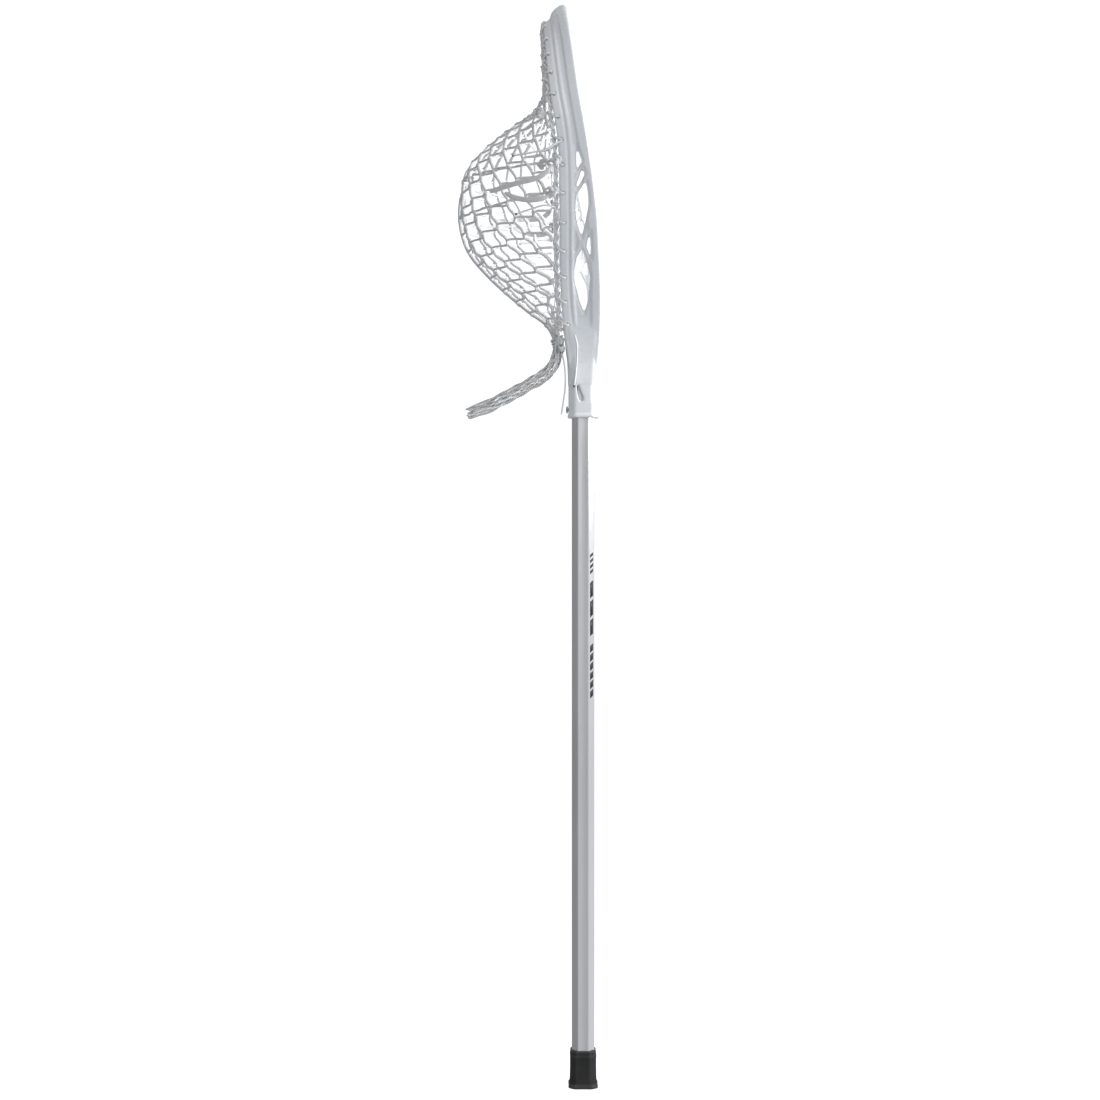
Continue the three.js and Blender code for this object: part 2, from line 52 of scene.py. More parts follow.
# ---- Dimensions that repeat the CAD model's, in millimetres ----
SHAFT_TOP = 768
SOCKET_ROOM = 1.5  # room above the shaft's end in the head's socket
CUT_PAST = 2  # a cut runs this far past the face that it opens
SHAFT = {"half_x": 11.65, "half_y": 12.7, "bevel": 5.9, "wall": 1.4, "hollow": 0.45, "corner": 0.9}
FRONT_RAIL = [
    (14.8, 12, 736), (17.6, 26, 772), (18, 45, 797), (17.2, 71, 824), (15.2, 96, 852), (12.8, 118, 883),
    (8.6, 136, 915), (3.8, 147, 945), (-1.4, 152.5, 975), (-6.8, 152, 1005), (-11, 143, 1035),
    (-14.6, 125, 1062), (-17.2, 98, 1085), (-18.8, 62, 1103), (-19.2, 30, 1112), (-19.4, 0, 1115),
]
BACK_RAIL = [
    (-14, 12, 736), (-18.8, 25.5, 772), (-22, 43, 797), (-24, 68, 824), (-24.6, 92, 852), (-25, 113, 883),
    (-25.6, 130, 915), (-26.6, 140.5, 945), (-29.6, 145.5, 970), (-34.2, 145.5, 996), (-37.4, 137, 1022),
    (-39.3, 121, 1045), (-41, 96, 1066), (-42, 64, 1082), (-42.3, 31, 1090.5), (-42.4, 0, 1093),
]
RAIL = {"front_depth": 9.5, "back_depth": 14.5, "thick": 6.6, "wall": 3.4, "recess": 1.6, "edge": 1.3}
SCOOP_FADE = (0.05, 0.16)
RAIL_GROOVE = 1.1  # depth of the line pressed along the back rail
SCOOP_CROWN = 4.0  # how far the scoop's outer face bulges
WINDOWS = [
    [(-8.6, 949), (-3.2, 934), (-8.2, 926.5)],
    [(-2.4, 928), (-0.4, 922), (-7.6, 909.5), (-8.8, 912)],
    [(0.8, 916), (2.9, 905), (3.6, 895), (0.9, 880), (-3, 865), (-8, 880), (-9.2, 891), (-8.6, 903)],
    [(5.4, 870), (6.8, 845), (1.6, 857)],
    [(-2.4, 854.5), (3.4, 841), (5.6, 831), (5.4, 820), (4, 807), (0.6, 796.5), (-4, 807), (-9, 824),
     (-9.8, 835), (-7.4, 847)],
    [(-8.8, 868), (-8, 861), (-9.4, 854)],
]
HEAD_HALF_WIDTH = 180  # a cut that reaches this far passes all of one side
WINDOW_INNER_Y = 30
COLLAR_BOTTOM = 691.4
# Collar and throat as octagons: (z, back, front, half width, bevel).
THROAT_RINGS = [
    (691.4, -16, 16.5, 17.5, 6.6), (694.4, -16, 16.5, 17.5, 6.6), (695.4, -15.1, 15.6, 16.6, 6.2),
    (706.4, -15.1, 15.6, 16.6, 6.2), (708.4, -15.1, 14.6, 16.6, 6.2), (724.4, -15.1, 14.6, 16.6, 6.2),
    (726.4, -15.5, 16.2, 16.9, 6.2), (750, -16.4, 16.6, 17.6, 5.6), (764, -18, 17, 22.4, 5),
    (780, -18.6, 16.6, 31, 4), (798, -17, 14, 41.5, 4), (814, -14, 10, 58, 3),
]
TEARDROP = [
    (-6.6, 726), (-6.2, 717), (-4.2, 709.4), (-2.6, 708), (-0.4, 708.6), (0.4, 711), (-2, 717), (-5, 725),
]
TEARDROP_REACH = 40
MOUTH = {"radius": 70, "z": 856, "reach": 90}
BALL_STOP = {"thick": 4.2, "room": 0.55, "half_angle": 0.45, "back": -13.5, "front": 12}
SCREW = {
    "z": 700, "head_radius": 4, "head_height": 2.1, "seat": -15.75, "shank_radius": 1.9, "length": 11.5,
    "hole_radius": 2.25,
}
GAP = 0.35
HOLES = {"radius": 1.6, "inset": 4.6, "sides": 16}
SIDE_HOLES = np.linspace(0.05, 0.385, 13)
SCOOP_HOLES = np.linspace(0.42, 0.58, 8)
POCKET_ROWS = [
    (-42, 1085, 1066), (-39.5, 1050, 1034), (-40.5, 1018, 1002), (-53, 999, 984), (-77, 984, 972),
    (-102, 965, 957), (-120, 945, 943), (-127.5, 914, 920), (-127.5, 890, 903), (-119.5, 864, 875),
    (-98.5, 838, 847), (-59, 803, 816), (-38, 787, 797), (-28.5, 770, 777),
]
POCKET = {"behind_rail": 5.6, "behind_top": 1.0, "inside_rail": 4.2, "roundness": 2.2}
TOP_FADE = (1015, 960)  # heights over which the net's edge steps back from the rail
TAIL_PATH = [
    (-26.5, 766), (-27, 757), (-31, 746), (-40, 736), (-56, 726), (-75, 716), (-96, 706), (-122, 697),
]
TAIL_HALF_WIDTH = [10, 14, 17, 18, 18, 18, 19, 16]
TAIL_HALF_THICK = [5, 6, 6.5, 7, 7, 6.5, 6, 4.5]
LACES = [(979, 12.6, 3), (934.5, 2.6, 5.9), (906.5, 5.8, 5.4)]  # z, knot behind the rail, knot outside it
LACE_PASS, LACE_BEND = 6.2, (3, 2)  # how a lace clears the rail on its way in
LACE_TAILS = {
    2: [(-32.4, -143.6, 929.9), (-37, -144, 923.5), (-44, -142, 918.6), (-54, -136.5, 916),
        (-64, -129, 915), (-79, -117, 912.4), (-94, -103, 909.6)],
    3: [(-34.7, -132.5, 901.4), (-41, -131.5, 899.2), (-54, -125, 898.4), (-69, -115.5, 902.3),
        (-79, -107, 908.5)],
}
STRING_TAILS = {
    1: [(-22, -146, 953.4), (-27, -147.6, 950.6), (-32.5, -148.4, 947.4), (-39, -147.5, 944),
        (-53.7, -142, 941.8), (-71.4, -132, 940.4)],
    2: [(-29.4, -121.6, 891.6), (-33, -123.6, 892.6), (-40, -125, 893.2), (-53.6, -121, 889.9),
        (-68.6, -113, 886)],
}
STRING_END = [
    (-9, -32.6, 775), (-6.6, -27.8, 765), (-6.4, -22.8, 752), (-7.6, -19.8, 738), (-9.4, -18.8, 722),
]
THROAT_END = [
    (-22.2, -14.5, 758), (-19.6, -14.8, 747), (-18.4, -14.6, 735), (-18.6, -14, 722), (-20.4, -13.2, 708),
    (-22.6, -12.4, 694),
]

# ---- Sizes of the detail that only the looks have, in millimetres ----
STRING_RADIUS = 1.15
STRING_END_RADIUS = 0.9
LACE_WIDTH = 5.0  # of a flat free end
LACE_THICK = 1.9
LACE_PULLED = 2.5  # the width of a lace pulled tight through the net
LACE_STITCHES, LACE_REACH = 27, 0.9
# The net's thick cords run down it, spread from the middle, and meet the thin ones at long joints.
NET = {
    "pitch": 26, "rows": 22, "spread": 0.9, "spread_start": 0.1, "spread_end": (0.42, 0.6),
    "squeeze": 0.86, "sag": 0.16, "joint": (3.0, 8.5), "zigzag": 1.6, "reach": 0.985,
}
NET_RADIUS = {"thick": 1.95, "thin": 1.3}
MARKS = [(402, 6, 7, 9.4), (466, 3, 16, 19.5), (530, 4, 3.2, 5.6)]  # lowest bar's z, bars, length, step
MARK_HALF, MARK_SLANT, MARK_SUNK, MARK_PROUD = 2.2, 3, 0.25, 0.06
TAIL_STRANDS = 44
TAIL_STRAND_RADIUS = 1.0
VOXEL = 0.9
WINDOW_SLOPE = {"width": 3.4, "depth": 1.7}  # how the wall's outer face slopes in round each window


# ---- Curves ----
def spline(points, places):
    """The CAD model's centripetal Catmull-Rom curve through the points, at places from 0 to 1."""
    p = np.asarray(points, float)
    p = np.vstack([2 * p[0] - p[1], p, 2 * p[-1] - p[-2]])
    along = np.clip(np.atleast_1d(places), 0, 1) * (len(p) - 3)
    i = np.minimum(along.astype(int), len(p) - 4)
    f = (along - i)[:, None]
    p0, p1, p2, p3 = p[i], p[i + 1], p[i + 2], p[i + 3]
    d0, d1, d2 = (
        np.maximum(np.sqrt(np.linalg.norm(b - a, axis=1)), 1e-4)[:, None]
        for a, b in ((p0, p1), (p1, p2), (p2, p3))
    )
    m1 = ((p1 - p0) / d0 - (p2 - p0) / (d0 + d1) + (p2 - p1) / d1) * d1
    m2 = ((p2 - p1) / d1 - (p3 - p1) / (d1 + d2) + (p3 - p2) / d2) * d1
    return p1 + m1 * f + (3 * (p2 - p1) - 2 * m1 - m2) * f**2 + (2 * (p1 - p2) + m1 + m2) * f**3


def unit(v):
    return v / np.maximum(np.linalg.norm(v, axis=-1, keepdims=True), 1e-9)


def run_of(path):
    """The length from a line's start to each of its points."""
    return np.concatenate([[0], np.cumsum(np.linalg.norm(np.diff(path, axis=0), axis=1))])


def turn_of(count):
    """Even angles once round."""
    return np.arange(count) / count * 2 * math.pi


def length_of(path):
    return float(np.linalg.norm(np.diff(np.asarray(path, float), axis=0), axis=1).sum())


def spaced(path, count):
    """The same line with a number of even points."""
    run = run_of(path)
    at = np.linspace(0, run[-1], count)
    return np.stack([np.interp(at, run, path[:, k]) for k in range(3)], axis=1)


def even(path, step):
    """The same line with points a step apart."""
    path = np.asarray(path, float)
    return spaced(path, max(4, int(round(run_of(path)[-1] / step)) + 1))


def smooth_path(points, step=1.0):
    return even(spline(points, np.linspace(0, 1, 40 * len(points))), step)


def mirrored(points):
    return [(x, -y, z) for x, y, z in points]


def fade(x, start, end):
    t = np.clip((np.asarray(x, float) - start) / (end - start), 0, 1)
    return t * t * (3 - 2 * t)


# ---- Mesh building ----
def mesh_object(name, points, faces, material=None, uv=None):
    mesh = bpy.data.meshes.new(name)
    mesh.from_pydata((np.asarray(points, float) * MM).tolist(), [], faces)
    mesh.validate()
    mesh.update()
    if uv is not None:
        layer = mesh.uv_layers.new(name="path")
        corners = np.zeros(len(mesh.loops), np.int32)
        mesh.loops.foreach_get("vertex_index", corners)
        layer.data.foreach_set("uv", np.asarray(uv, np.float32)[corners].ravel())
    mesh.polygons.foreach_set("use_smooth", [True] * len(mesh.polygons))
    obj = bpy.data.objects.new(name, mesh)
    bpy.context.scene.collection.objects.link(obj)
    if material:
        mesh.materials.append(material)
    return obj


class Build:
    """Gathers several closed shapes into one piece."""

    def __init__(self):
        self.points, self.faces, self.uv = [], [], []
        self.count = 0

    def add(self, points, faces, uv=None):
        points = np.asarray(points, float)
        self.points.append(points)
        self.faces += [tuple(i + self.count for i in face) for face in faces]
        self.uv.append(np.zeros((len(points), 2)) if uv is None else np.asarray(uv, float))
        self.count += len(points)

    def made(self, name, material=None):
        return mesh_object(name, np.vstack(self.points), self.faces, material, uv=np.vstack(self.uv))


def skin(rings, sides, closed_ends=False, looped=False):
    """Faces over rings that follow each other with the same number of points."""
    faces = []
    for r in range(rings if looped else rings - 1):
        a, b = r * sides, (r + 1) % rings * sides
        for i in range(sides):
            j = (i + 1) % sides
            faces.append((a + i, a + j, b + j, b + i))
    if closed_ends:
        faces.append(tuple(range(sides))[::-1])
        faces.append(tuple((rings - 1) * sides + i for i in range(sides)))
    return faces


def loft(rings, closed_ends=True):
    """Points and faces of a skin over rings with the same number of points, its faces pointing out."""
    faces = skin(len(rings), len(rings[0]), closed_ends)
    points = np.vstack(rings)
    if signed_volume(points, faces) < 0:
        faces = [face[::-1] for face in faces]
    return points, faces


def signed_volume(points, faces):
    total = 0.0
    for face in faces:
        a = points[face[0]]
        for i in range(1, len(face) - 1):
            total += float(np.dot(a, np.cross(points[face[i]], points[face[i + 1]])))
    return total


def frames(path, hint):
    """Tangents, and two crosswise directions carried along the line without twist."""
    tangent = unit(np.gradient(path, axis=0))
    side = np.zeros_like(path)
    current = np.asarray(hint, float)
    for i, t in enumerate(tangent):
        current = current - t * np.dot(current, t)
        current = current / max(np.linalg.norm(current), 1e-9)
        side[i] = current
    return tangent, side, np.cross(tangent, side)


def tube(
    path, radius, sides=8, flat=1.0, hint=(0.13, 0.31, 0.94), ply=0.0, pitch=5.0, taper=0.0, hints=None,
):
    """A cord round a line. flat squeezes its section along the second crosswise direction; ply twists two
    lobes round it, one turn in a pitch; taper narrows both ends over that length."""
    path = np.asarray(path, float)
    if hints is None:
        _, side, up = frames(path, hint)
    else:
        tangent = unit(np.gradient(path, axis=0))
        side = unit(hints - tangent * (hints * tangent).sum(1, keepdims=True))
        up = np.cross(tangent, side)
    run = run_of(path)
    radius = np.broadcast_to(np.asarray(radius, float), (len(path),)).copy()
    if taper:
        ends = np.minimum(run, run[-1] - run) / taper
        radius *= 0.25 + 0.75 * np.sqrt(np.clip(ends, 0, 1))
    angle = turn_of(sides)
    lobes = 1 + ply * np.cos(2 * (angle[None, :] - 2 * math.pi * run[:, None] / pitch))
    wide = radius[:, None] * lobes * np.cos(angle)
    high = radius[:, None] * flat * lobes * np.sin(angle)
    points = path[:, None] + wide[..., None] * side[:, None] + high[..., None] * up[:, None]
    uv = np.stack(np.broadcast_arrays(run[:, None], angle[None, :] / (2 * math.pi)), axis=-1)
    return points.reshape(-1, 3), skin(len(path), sides, closed_ends=True), uv.reshape(-1, 2)


def applied(obj):
    """Bakes an object's modifiers into its mesh."""
    bpy.context.view_layer.update()
    graph = bpy.context.evaluated_depsgraph_get()
    mesh = bpy.data.meshes.new_from_object(obj.evaluated_get(graph), depsgraph=graph)
    obj.modifiers.clear()
    old, obj.data = obj.data, mesh
    bpy.data.meshes.remove(old)
    return obj


def boolean(obj, other, operation="DIFFERENCE"):
    modifier = obj.modifiers.new("cut", "BOOLEAN")
    modifier.operation, modifier.solver, modifier.object = operation, "EXACT", other
    applied(obj)
    bpy.data.objects.remove(other)


def only_material(obj, material):
    obj.data.materials.clear()
    obj.data.materials.append(material)


def prism_along_y(outline, y0, y1):
    return loft([np.array([(x, y, z) for x, z in outline], float) for y in (y0, y1)])


def rounded(outline, share, rounds=2):
    """An outline with its corners cut back, over and over, into curves."""
    points = [np.array(p, float) for p in outline]
    for _ in range(rounds):
        points = [
            q
            for a, b in zip(points, points[1:] + points[:1])
            for q in (a + (b - a) * share, b + (a - b) * share)
        ]
    return [tuple(p) for p in points]


def octagon(back, front, half_y, bevel):
    inner = half_y - bevel
    return [
        (front, -inner), (front, inner), (front - bevel, half_y), (back + bevel, half_y),
        (back, inner), (back, -inner), (back + bevel, -half_y), (front - bevel, -half_y),
    ]


def shaft_octagon(margin):
    half_x = SHAFT["half_x"] + margin
    return octagon(-half_x, half_x, SHAFT["half_y"] + margin, SHAFT["bevel"])


def arc_corners(corners, radius, hollow=0.0, steps=4):
    """A polygon with round corners. Its wide faces are bowed inwards by hollow."""
    corners = np.array(corners, float)
    outline = []
    for i, corner in enumerate(corners):
        before, after = corners[i - 1], corners[(i + 1) % len(corners)]
        a, b = unit(before - corner), unit(after - corner)
        start, end = corner + a * radius, corner + b * radius
        for s in range(steps + 1):
            t = s / steps
            outline.append((1 - t) ** 2 * start + 2 * t * (1 - t) * corner + t**2 * end)
        if hollow and i % 2 == 0:
            middle = (corner + after) / 2
            inward = -unit(middle)
            span = end + (after + unit(corner - after) * radius - end) * np.linspace(0, 1, 9)[1:-1, None]
            bow = 1 - np.linspace(-1, 1, 9)[1:-1] ** 2
            outline += list(span + inward * hollow * bow[:, None])
    return np.array(outline)


def ring_at(outline, z):
    return np.column_stack([outline, np.full(len(outline), float(z))])


# ---- Materials ----
class Nodes:
    """Short hand for the node tree of a material or a world."""

    def __init__(self, name, kind="materials", shader="Principled BSDF"):
        self.material = getattr(bpy.data, kind).new(name)
        self.material.use_nodes = True
        self.tree = self.material.node_tree
        self.shader = self.tree.nodes[shader]

    def node(self, kind, inputs=None, **values):
        node = self.tree.nodes.new(kind)
        for key, value in values.items():
            setattr(node, key, value)
        for key, value in (inputs or {}).items():
            self.put(node, key, value)
        return node

    def put(self, node, key, value):
        if isinstance(value, bpy.types.NodeSocket):
            self.tree.links.new(value, node.inputs[key])
        else:
            node.inputs[key].default_value = value

    def set(self, **values):
        for key, value in values.items():
            self.put(self.shader, key.replace("_", " "), value)

    def place(self, scale=(1, 1, 1), uv=False):
        if uv:
            source = self.node("ShaderNodeUVMap", uv_map="path").outputs["UV"]
        else:
            source = self.node("ShaderNodeTexCoord").outputs["Object"]
        return self.node("ShaderNodeMapping", {"Vector": source, "Scale": scale}).outputs["Vector"]

    def noise(self, scale, detail=3.0, roughness=0.5, stretch=(1, 1, 1), distortion=0.0):
        inputs = {"Vector": self.place(stretch), "Scale": scale, "Detail": detail,
                  "Roughness": roughness, "Distortion": distortion}
        return self.node("ShaderNodeTexNoise", inputs).outputs["Fac"]

    def ramp(self, value, stops):
        node = self.node("ShaderNodeValToRGB", {"Fac": value})
        elements = node.color_ramp.elements
        while len(elements) < len(stops):
            elements.new(0.5)
        for element, (place, colour) in zip(elements, stops):
            element.position = place
            element.color = colour if len(colour) == 4 else (*colour, 1)
        return node.outputs["Color"]

    def range(self, value, low, high, from_low=0.0, from_high=1.0):
        ends = {"From Min": from_low, "From Max": from_high, "To Min": low, "To Max": high}
        return self.node("ShaderNodeMapRange", {"Value": value, **ends}).outputs["Result"]

    def mix(self, factor, a, b, blend="MIX"):
        node = self.node("ShaderNodeMix", data_type="RGBA", blend_type=blend)
        self.put(node, "Factor", factor)
        self.put(node, 6, a)
        self.put(node, 7, b)
        return node.outputs[2]

    def math(self, operation, a, b=0.0):
        node = self.node("ShaderNodeMath", operation=operation)
        self.put(node, 0, a)
        self.put(node, 1, b)
        return node.outputs["Value"]

    def bump(self, height, strength, distance, normal=None):
        inputs = {"Height": height, "Strength": strength, "Distance": distance}
        if normal is not None:
            inputs["Normal"] = normal
        return self.node("ShaderNodeBump", inputs).outputs["Normal"]


def plastic():
    """Glossy white moulded nylon: faint flow waviness, fine scuffs, and painted shade that darkens the
    corners and creases.
    """
    m = Nodes("head_plastic")
    broad = m.noise(14, 2)
    scuffs = m.noise(420, 4, 0.6, stretch=(1, 1, 0.25))
    crease = m.node("ShaderNodeAmbientOcclusion", {"Distance": 0.012}, samples=6).outputs["AO"]
    base_tone = m.ramp(broad, [(0.3, (0.80, 0.83, 0.86)), (0.7, (0.86, 0.88, 0.90))])
    # painted shade: the occlusion node darkens the colour in corners and creases, where shade falls
    crease_shade = m.ramp(crease, [(0.0, (0.55, 0.56, 0.58)), (0.8, (1, 1, 1))])
    m.set(Base_Color=m.mix(0.55, base_tone, crease_shade, "MULTIPLY"),
          Roughness=m.range(scuffs, 0.24, 0.42, 0.35, 0.75), IOR=1.49, Coat_Weight=0.25,
          Coat_Roughness=0.12, Subsurface_Weight=0.12, Subsurface_Scale=0.002)
    wave = m.bump(broad, 0.25, 0.0006)
    m.set(Normal=m.bump(scuffs, 0.12, 0.0002, wave))
    return m.material


def aluminium():
    """Satin anodised aluminium, brushed along the shaft, with a few fine scratches."""
    m = Nodes("shaft_aluminium")
    grain = m.noise(900, 5, 0.65, stretch=(1, 1, 0.012))
    cloud = m.noise(9, 3, stretch=(1, 1, 0.5))
    scratches = m.noise(160, 6, 0.7, stretch=(1, 1, 0.06), distortion=0.4)
    base = m.ramp(m.math("ADD", m.math("MULTIPLY", grain, 0.5), m.math("MULTIPLY", cloud, 0.5)),
                  [(0.3, (0.70, 0.71, 0.715)), (0.7, (0.86, 0.865, 0.87))])
    m.set(Base_Color=base, Metallic=1.0, Anisotropic=0.5,
          Roughness=m.range(scratches, 0.26, 0.44, 0.35, 0.7))
    m.set(Normal=m.bump(scratches, 0.08, 0.0002, m.bump(grain, 0.15, 0.0001)))
    return m.material


def rubber():
    """Matt black butt rubber with fine pores and greyed, rubbed edges."""
    m = Nodes("cap_rubber")
    pores = m.noise(1500, 3)
    bloom = m.noise(45, 4, 0.6)
    edge = m.range(m.node("ShaderNodeNewGeometry").outputs["Pointiness"], 0.0, 1.0, 0.5, 0.56)
    black = m.ramp(bloom, [(0.35, (0.012, 0.012, 0.012)), (0.75, (0.03, 0.03, 0.031))])
    m.set(Base_Color=m.mix(edge, black, (0.075, 0.075, 0.077, 1)), Specular_IOR_Level=0.4,
          Roughness=m.range(bloom, 0.5, 0.78, 0.3, 0.7))
    m.set(Normal=m.bump(bloom, 0.1, 0.0005, m.bump(pores, 0.3, 0.0001)))
    return m.material


def steel():
    m = Nodes("screw_steel")
    marks = m.noise(700, 4, 0.6)
    m.set(Base_Color=m.ramp(marks, [(0.3, (0.42, 0.43, 0.44)), (0.7, (0.62, 0.63, 0.64))]),
          Metallic=1.0, Roughness=m.range(marks, 0.2, 0.42, 0.3, 0.7))
    m.set(Normal=m.bump(marks, 0.1, 0.0001))
    return m.material


def foam():
    """Closed-cell foam, blue-grey, with open pores."""
    m = Nodes("foam")
    cells = m.node("ShaderNodeTexVoronoi", {"Vector": m.place(), "Scale": 900.0}).outputs["Distance"]
    cloud = m.noise(120, 3)
    m.set(Base_Color=m.ramp(cloud, [(0.3, (0.42, 0.48, 0.55)), (0.7, (0.55, 0.61, 0.68))]),
          Roughness=m.range(cells, 0.85, 0.98), Sheen_Weight=0.15)
    m.set(Normal=m.bump(cells, 0.5, 0.0004))
    return m.material


def braid(name, colours, pitch, across, strength):
    """A braided or woven cord: two sets of yarns that cross along the cord's own length and girth."""
    m = Nodes(name)
    spot = m.place(uv=True)
    parts = m.node("ShaderNodeSeparateXYZ", {"Vector": spot})
    along = m.math("MULTIPLY", parts.outputs["X"], 2 * math.pi / pitch)
    around = m.math("MULTIPLY", parts.outputs["Y"], 2 * math.pi * across)
    left = m.math("SINE", m.math("ADD", along, around))
    right = m.math("SINE", m.math("SUBTRACT", along, around))
    yarn = m.range(m.math("MAXIMUM", left, right), 0.0, 1.0, -0.6, 1.0)
    cloud = m.noise(60, 3)
    fibre = m.ramp(cloud, [(0.3, colours[0]), (0.7, colours[1])])
    # painted shade: the colour darkens in the grooves between the yarns
    yarn_gap_shade = m.ramp(yarn, [(0.0, (0.74, 0.74, 0.74)), (0.7, (1, 1, 1))])
    m.set(Base_Color=m.mix(0.8, fibre, yarn_gap_shade, "MULTIPLY"), Sheen_Weight=0.2,
          Roughness=m.range(yarn, 0.8, 0.6))
    m.set(Normal=m.bump(yarn, strength, 0.0005))
    return m.material


def paint(name, colour, roughness):
    """Printed ink with a slightly uneven coat."""
    m = Nodes(name)
    coat = m.noise(260, 4, 0.6)
    tones = [(0.3, tuple(c * 0.8 for c in colour)), (0.7, tuple(c * 1.25 for c in colour))]
    m.set(Base_Color=m.ramp(coat, tones), Roughness=m.range(coat, roughness, roughness + 0.15))
    m.set(Normal=m.bump(coat, 0.05, 0.0001))
    return m.material


PLASTIC = plastic()
ALUMINIUM = aluminium()
RUBBER = rubber()
STEEL = steel()
FOAM = foam()
NET_NYLON = braid("mesh_nylon", ((0.78, 0.78, 0.78), (0.87, 0.87, 0.87)), 2.6, 2, 0.55)
STRING_NYLON = braid("string_nylon", ((0.86, 0.87, 0.88), (0.93, 0.94, 0.95)), 2.2, 2, 0.4)
LACE_WEAVE = braid("lace_woven", ((0.76, 0.76, 0.76), (0.86, 0.86, 0.86)), 1.7, 7, 0.6)
BURNT_END = paint("burnt_nylon", (0.05, 0.045, 0.04), 0.35)
INK = paint("printed_ink", (0.015, 0.015, 0.015), 0.4)


# ---- Camera, lights and floor ----
EYE = Vector((-0.0342, -2.4, 0.555))
VIEW_WIDTH = 1.1385  # metres that the view spans at the stick's own distance


def area_light(name, place, target, size, power, colour):
    data = bpy.data.lights.new(name, "AREA")
    data.shape, data.size, data.size_y = "RECTANGLE", size[0], size[1]
    data.energy, data.color = power, colour
    light = bpy.data.objects.new(name, data)
    light.location = place
    light.rotation_mode = "QUATERNION"
    light.rotation_quaternion = (Vector(target) - Vector(place)).to_track_quat("-Z", "Y")
    light.visible_camera = False
    bpy.context.scene.collection.objects.link(light)


def studio():
    scene = bpy.context.scene
    data = bpy.data.cameras.new("camera")
    data.sensor_width = 36
    data.lens = data.sensor_width * abs(EYE.y) / VIEW_WIDTH
    camera = bpy.data.objects.new("camera", data)
    camera.location = EYE
    camera.rotation_euler = (math.pi / 2, 0, 0)
    scene.collection.objects.link(camera)
    scene.camera = camera
    scene.view_settings.view_transform = "Standard"

    scene.world = light_room()
    # A strip close to the open face lights the inside of the far half and leaves the near half in shade.
    area_light("strip", (0.62, -0.09, 0.94), (0, -0.03, 0.95), (0.08, 0.5), 5.5, (0.98, 0.99, 1))
    area_light("front", (1.1, -2.2, 1.9), (0, 0, 0.95), (0.9, 1.4), 14, (1, 0.995, 0.99))
    stage_floor()


def light_room():
    """A studio that is dark on the stick's left and bright on its right."""
    m = Nodes("studio", "worlds", "Background")
    where = m.node("ShaderNodeTexCoord").outputs["Generated"]
    parts = m.node("ShaderNodeSeparateXYZ", {"Vector": where})
    m.set(Strength=m.range(parts.outputs["X"], 0.28, 0.82, -1.0, 1.0), Color=(0.95, 0.97, 1, 1))
    return m.material


FLOOR_DROP = 0.08


def stage_floor():
    """A pale round floor that curves up into a backdrop on every side. The stick stands clear above
    it, so that the butt cap has room to come off."""
    far, radius, height, around = 6.0, 1.5, 5.0, 96
    turns = [i / 16 * math.pi / 2 for i in range(17)]
    profile = [(far - radius + radius * math.sin(t), radius - radius * math.cos(t)) for t in turns]
    profile = [(0.05, 0.0), *profile, (far, height)]
    angle = turn_of(around)
    circle = np.column_stack([np.cos(angle), np.sin(angle)])
    rings = [ring_at(circle * r, z) for r, z in profile]
    points, faces = loft(rings)
    m = Nodes("floor_paper")
    grain = m.noise(30, 3)
    m.set(Base_Color=m.ramp(grain, [(0.3, (0.86, 0.86, 0.86)), (0.7, (0.9, 0.9, 0.9))]), Roughness=0.9,
          Emission_Color=(1, 1, 1, 1), Emission_Strength=0.62)
    floor = mesh_object("floor", (points - (0, 0, FLOOR_DROP)) / MM, faces[:-1], m.material)
    # The floor is white without lighting the stick or keeping the room's light from it.
    floor.visible_diffuse = floor.visible_glossy = floor.visible_shadow = False


studio()


# ---- Free cords ----
def finish_piece(obj, nodes=(), body="stick"):
    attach(obj, body)
    if nodes:
        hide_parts(*nodes)
    return obj


def free_cord(node, points, radius, slot, material, **shape):
    """A free cord along a given route."""
    path = smooth_path(points, 0.8)
    build = Build()
    build.add(*tube(path, radius, hint=(0, 0, 1), **shape))
    obj = build.made(node + "_cord", material)
    finish_piece(obj, [node])
    return obj


def free_string(node, points):
    free_cord(node, points, STRING_END_RADIUS, "string_nylon", STRING_NYLON,
              sides=10, ply=0.14, pitch=4.4, taper=2.0)


for side, turn in (("right", list), ("left", mirrored)):
    for number, route in LACE_TAILS.items():
        free_cord(f"lace_tail_{side}_{number}", turn(route), LACE_WIDTH / 2, "lace_woven", LACE_WEAVE,
                  flat=LACE_THICK / LACE_WIDTH, taper=7.0, sides=16)
    for number, route in STRING_TAILS.items():
        free_string(f"string_tail_{side}_{number}", turn(route))
    free_string(f"string_end_{side}", turn(STRING_END))
free_string("throat_string_end", THROAT_END)


def make_burnt_tips():
    """The blobs where the string ends were melted."""
    build = Build()
    for turn in (list, mirrored):
        for route in [*STRING_TAILS.values(), STRING_END]:
            path = smooth_path(turn(route), 0.4)[-8:]
            swell = STRING_END_RADIUS * (1.08 + 0.3 * np.sin(np.linspace(0, math.pi, len(path))))
            build.add(*tube(path, swell, 12, taper=0.8))
    return finish_piece(build.made("burnt_string_tips", BURNT_END))


make_burnt_tips()


# ---- Head ----
def both_sides(points):
    return [(x, -y, z) for x, y, z in points] + list(points[-2::-1])


FRONT = both_sides(FRONT_RAIL)
BACK = both_sides(BACK_RAIL)


def rail_frame(u):
    """Front and back rail points, the direction from front to back, and the direction into the head."""
    u = np.atleast_1d(np.asarray(u, float))
    step = 1e-4
    front, back = spline(FRONT, u), spline(BACK, u)
    along = unit(back - front)
    tangents = [unit(spline(c, u + step) - spline(c, u - step)) for c in (FRONT, BACK)]
    inward = unit(np.cross(along, unit(tangents[0] + tangents[1])))
    return front, back, along, inward


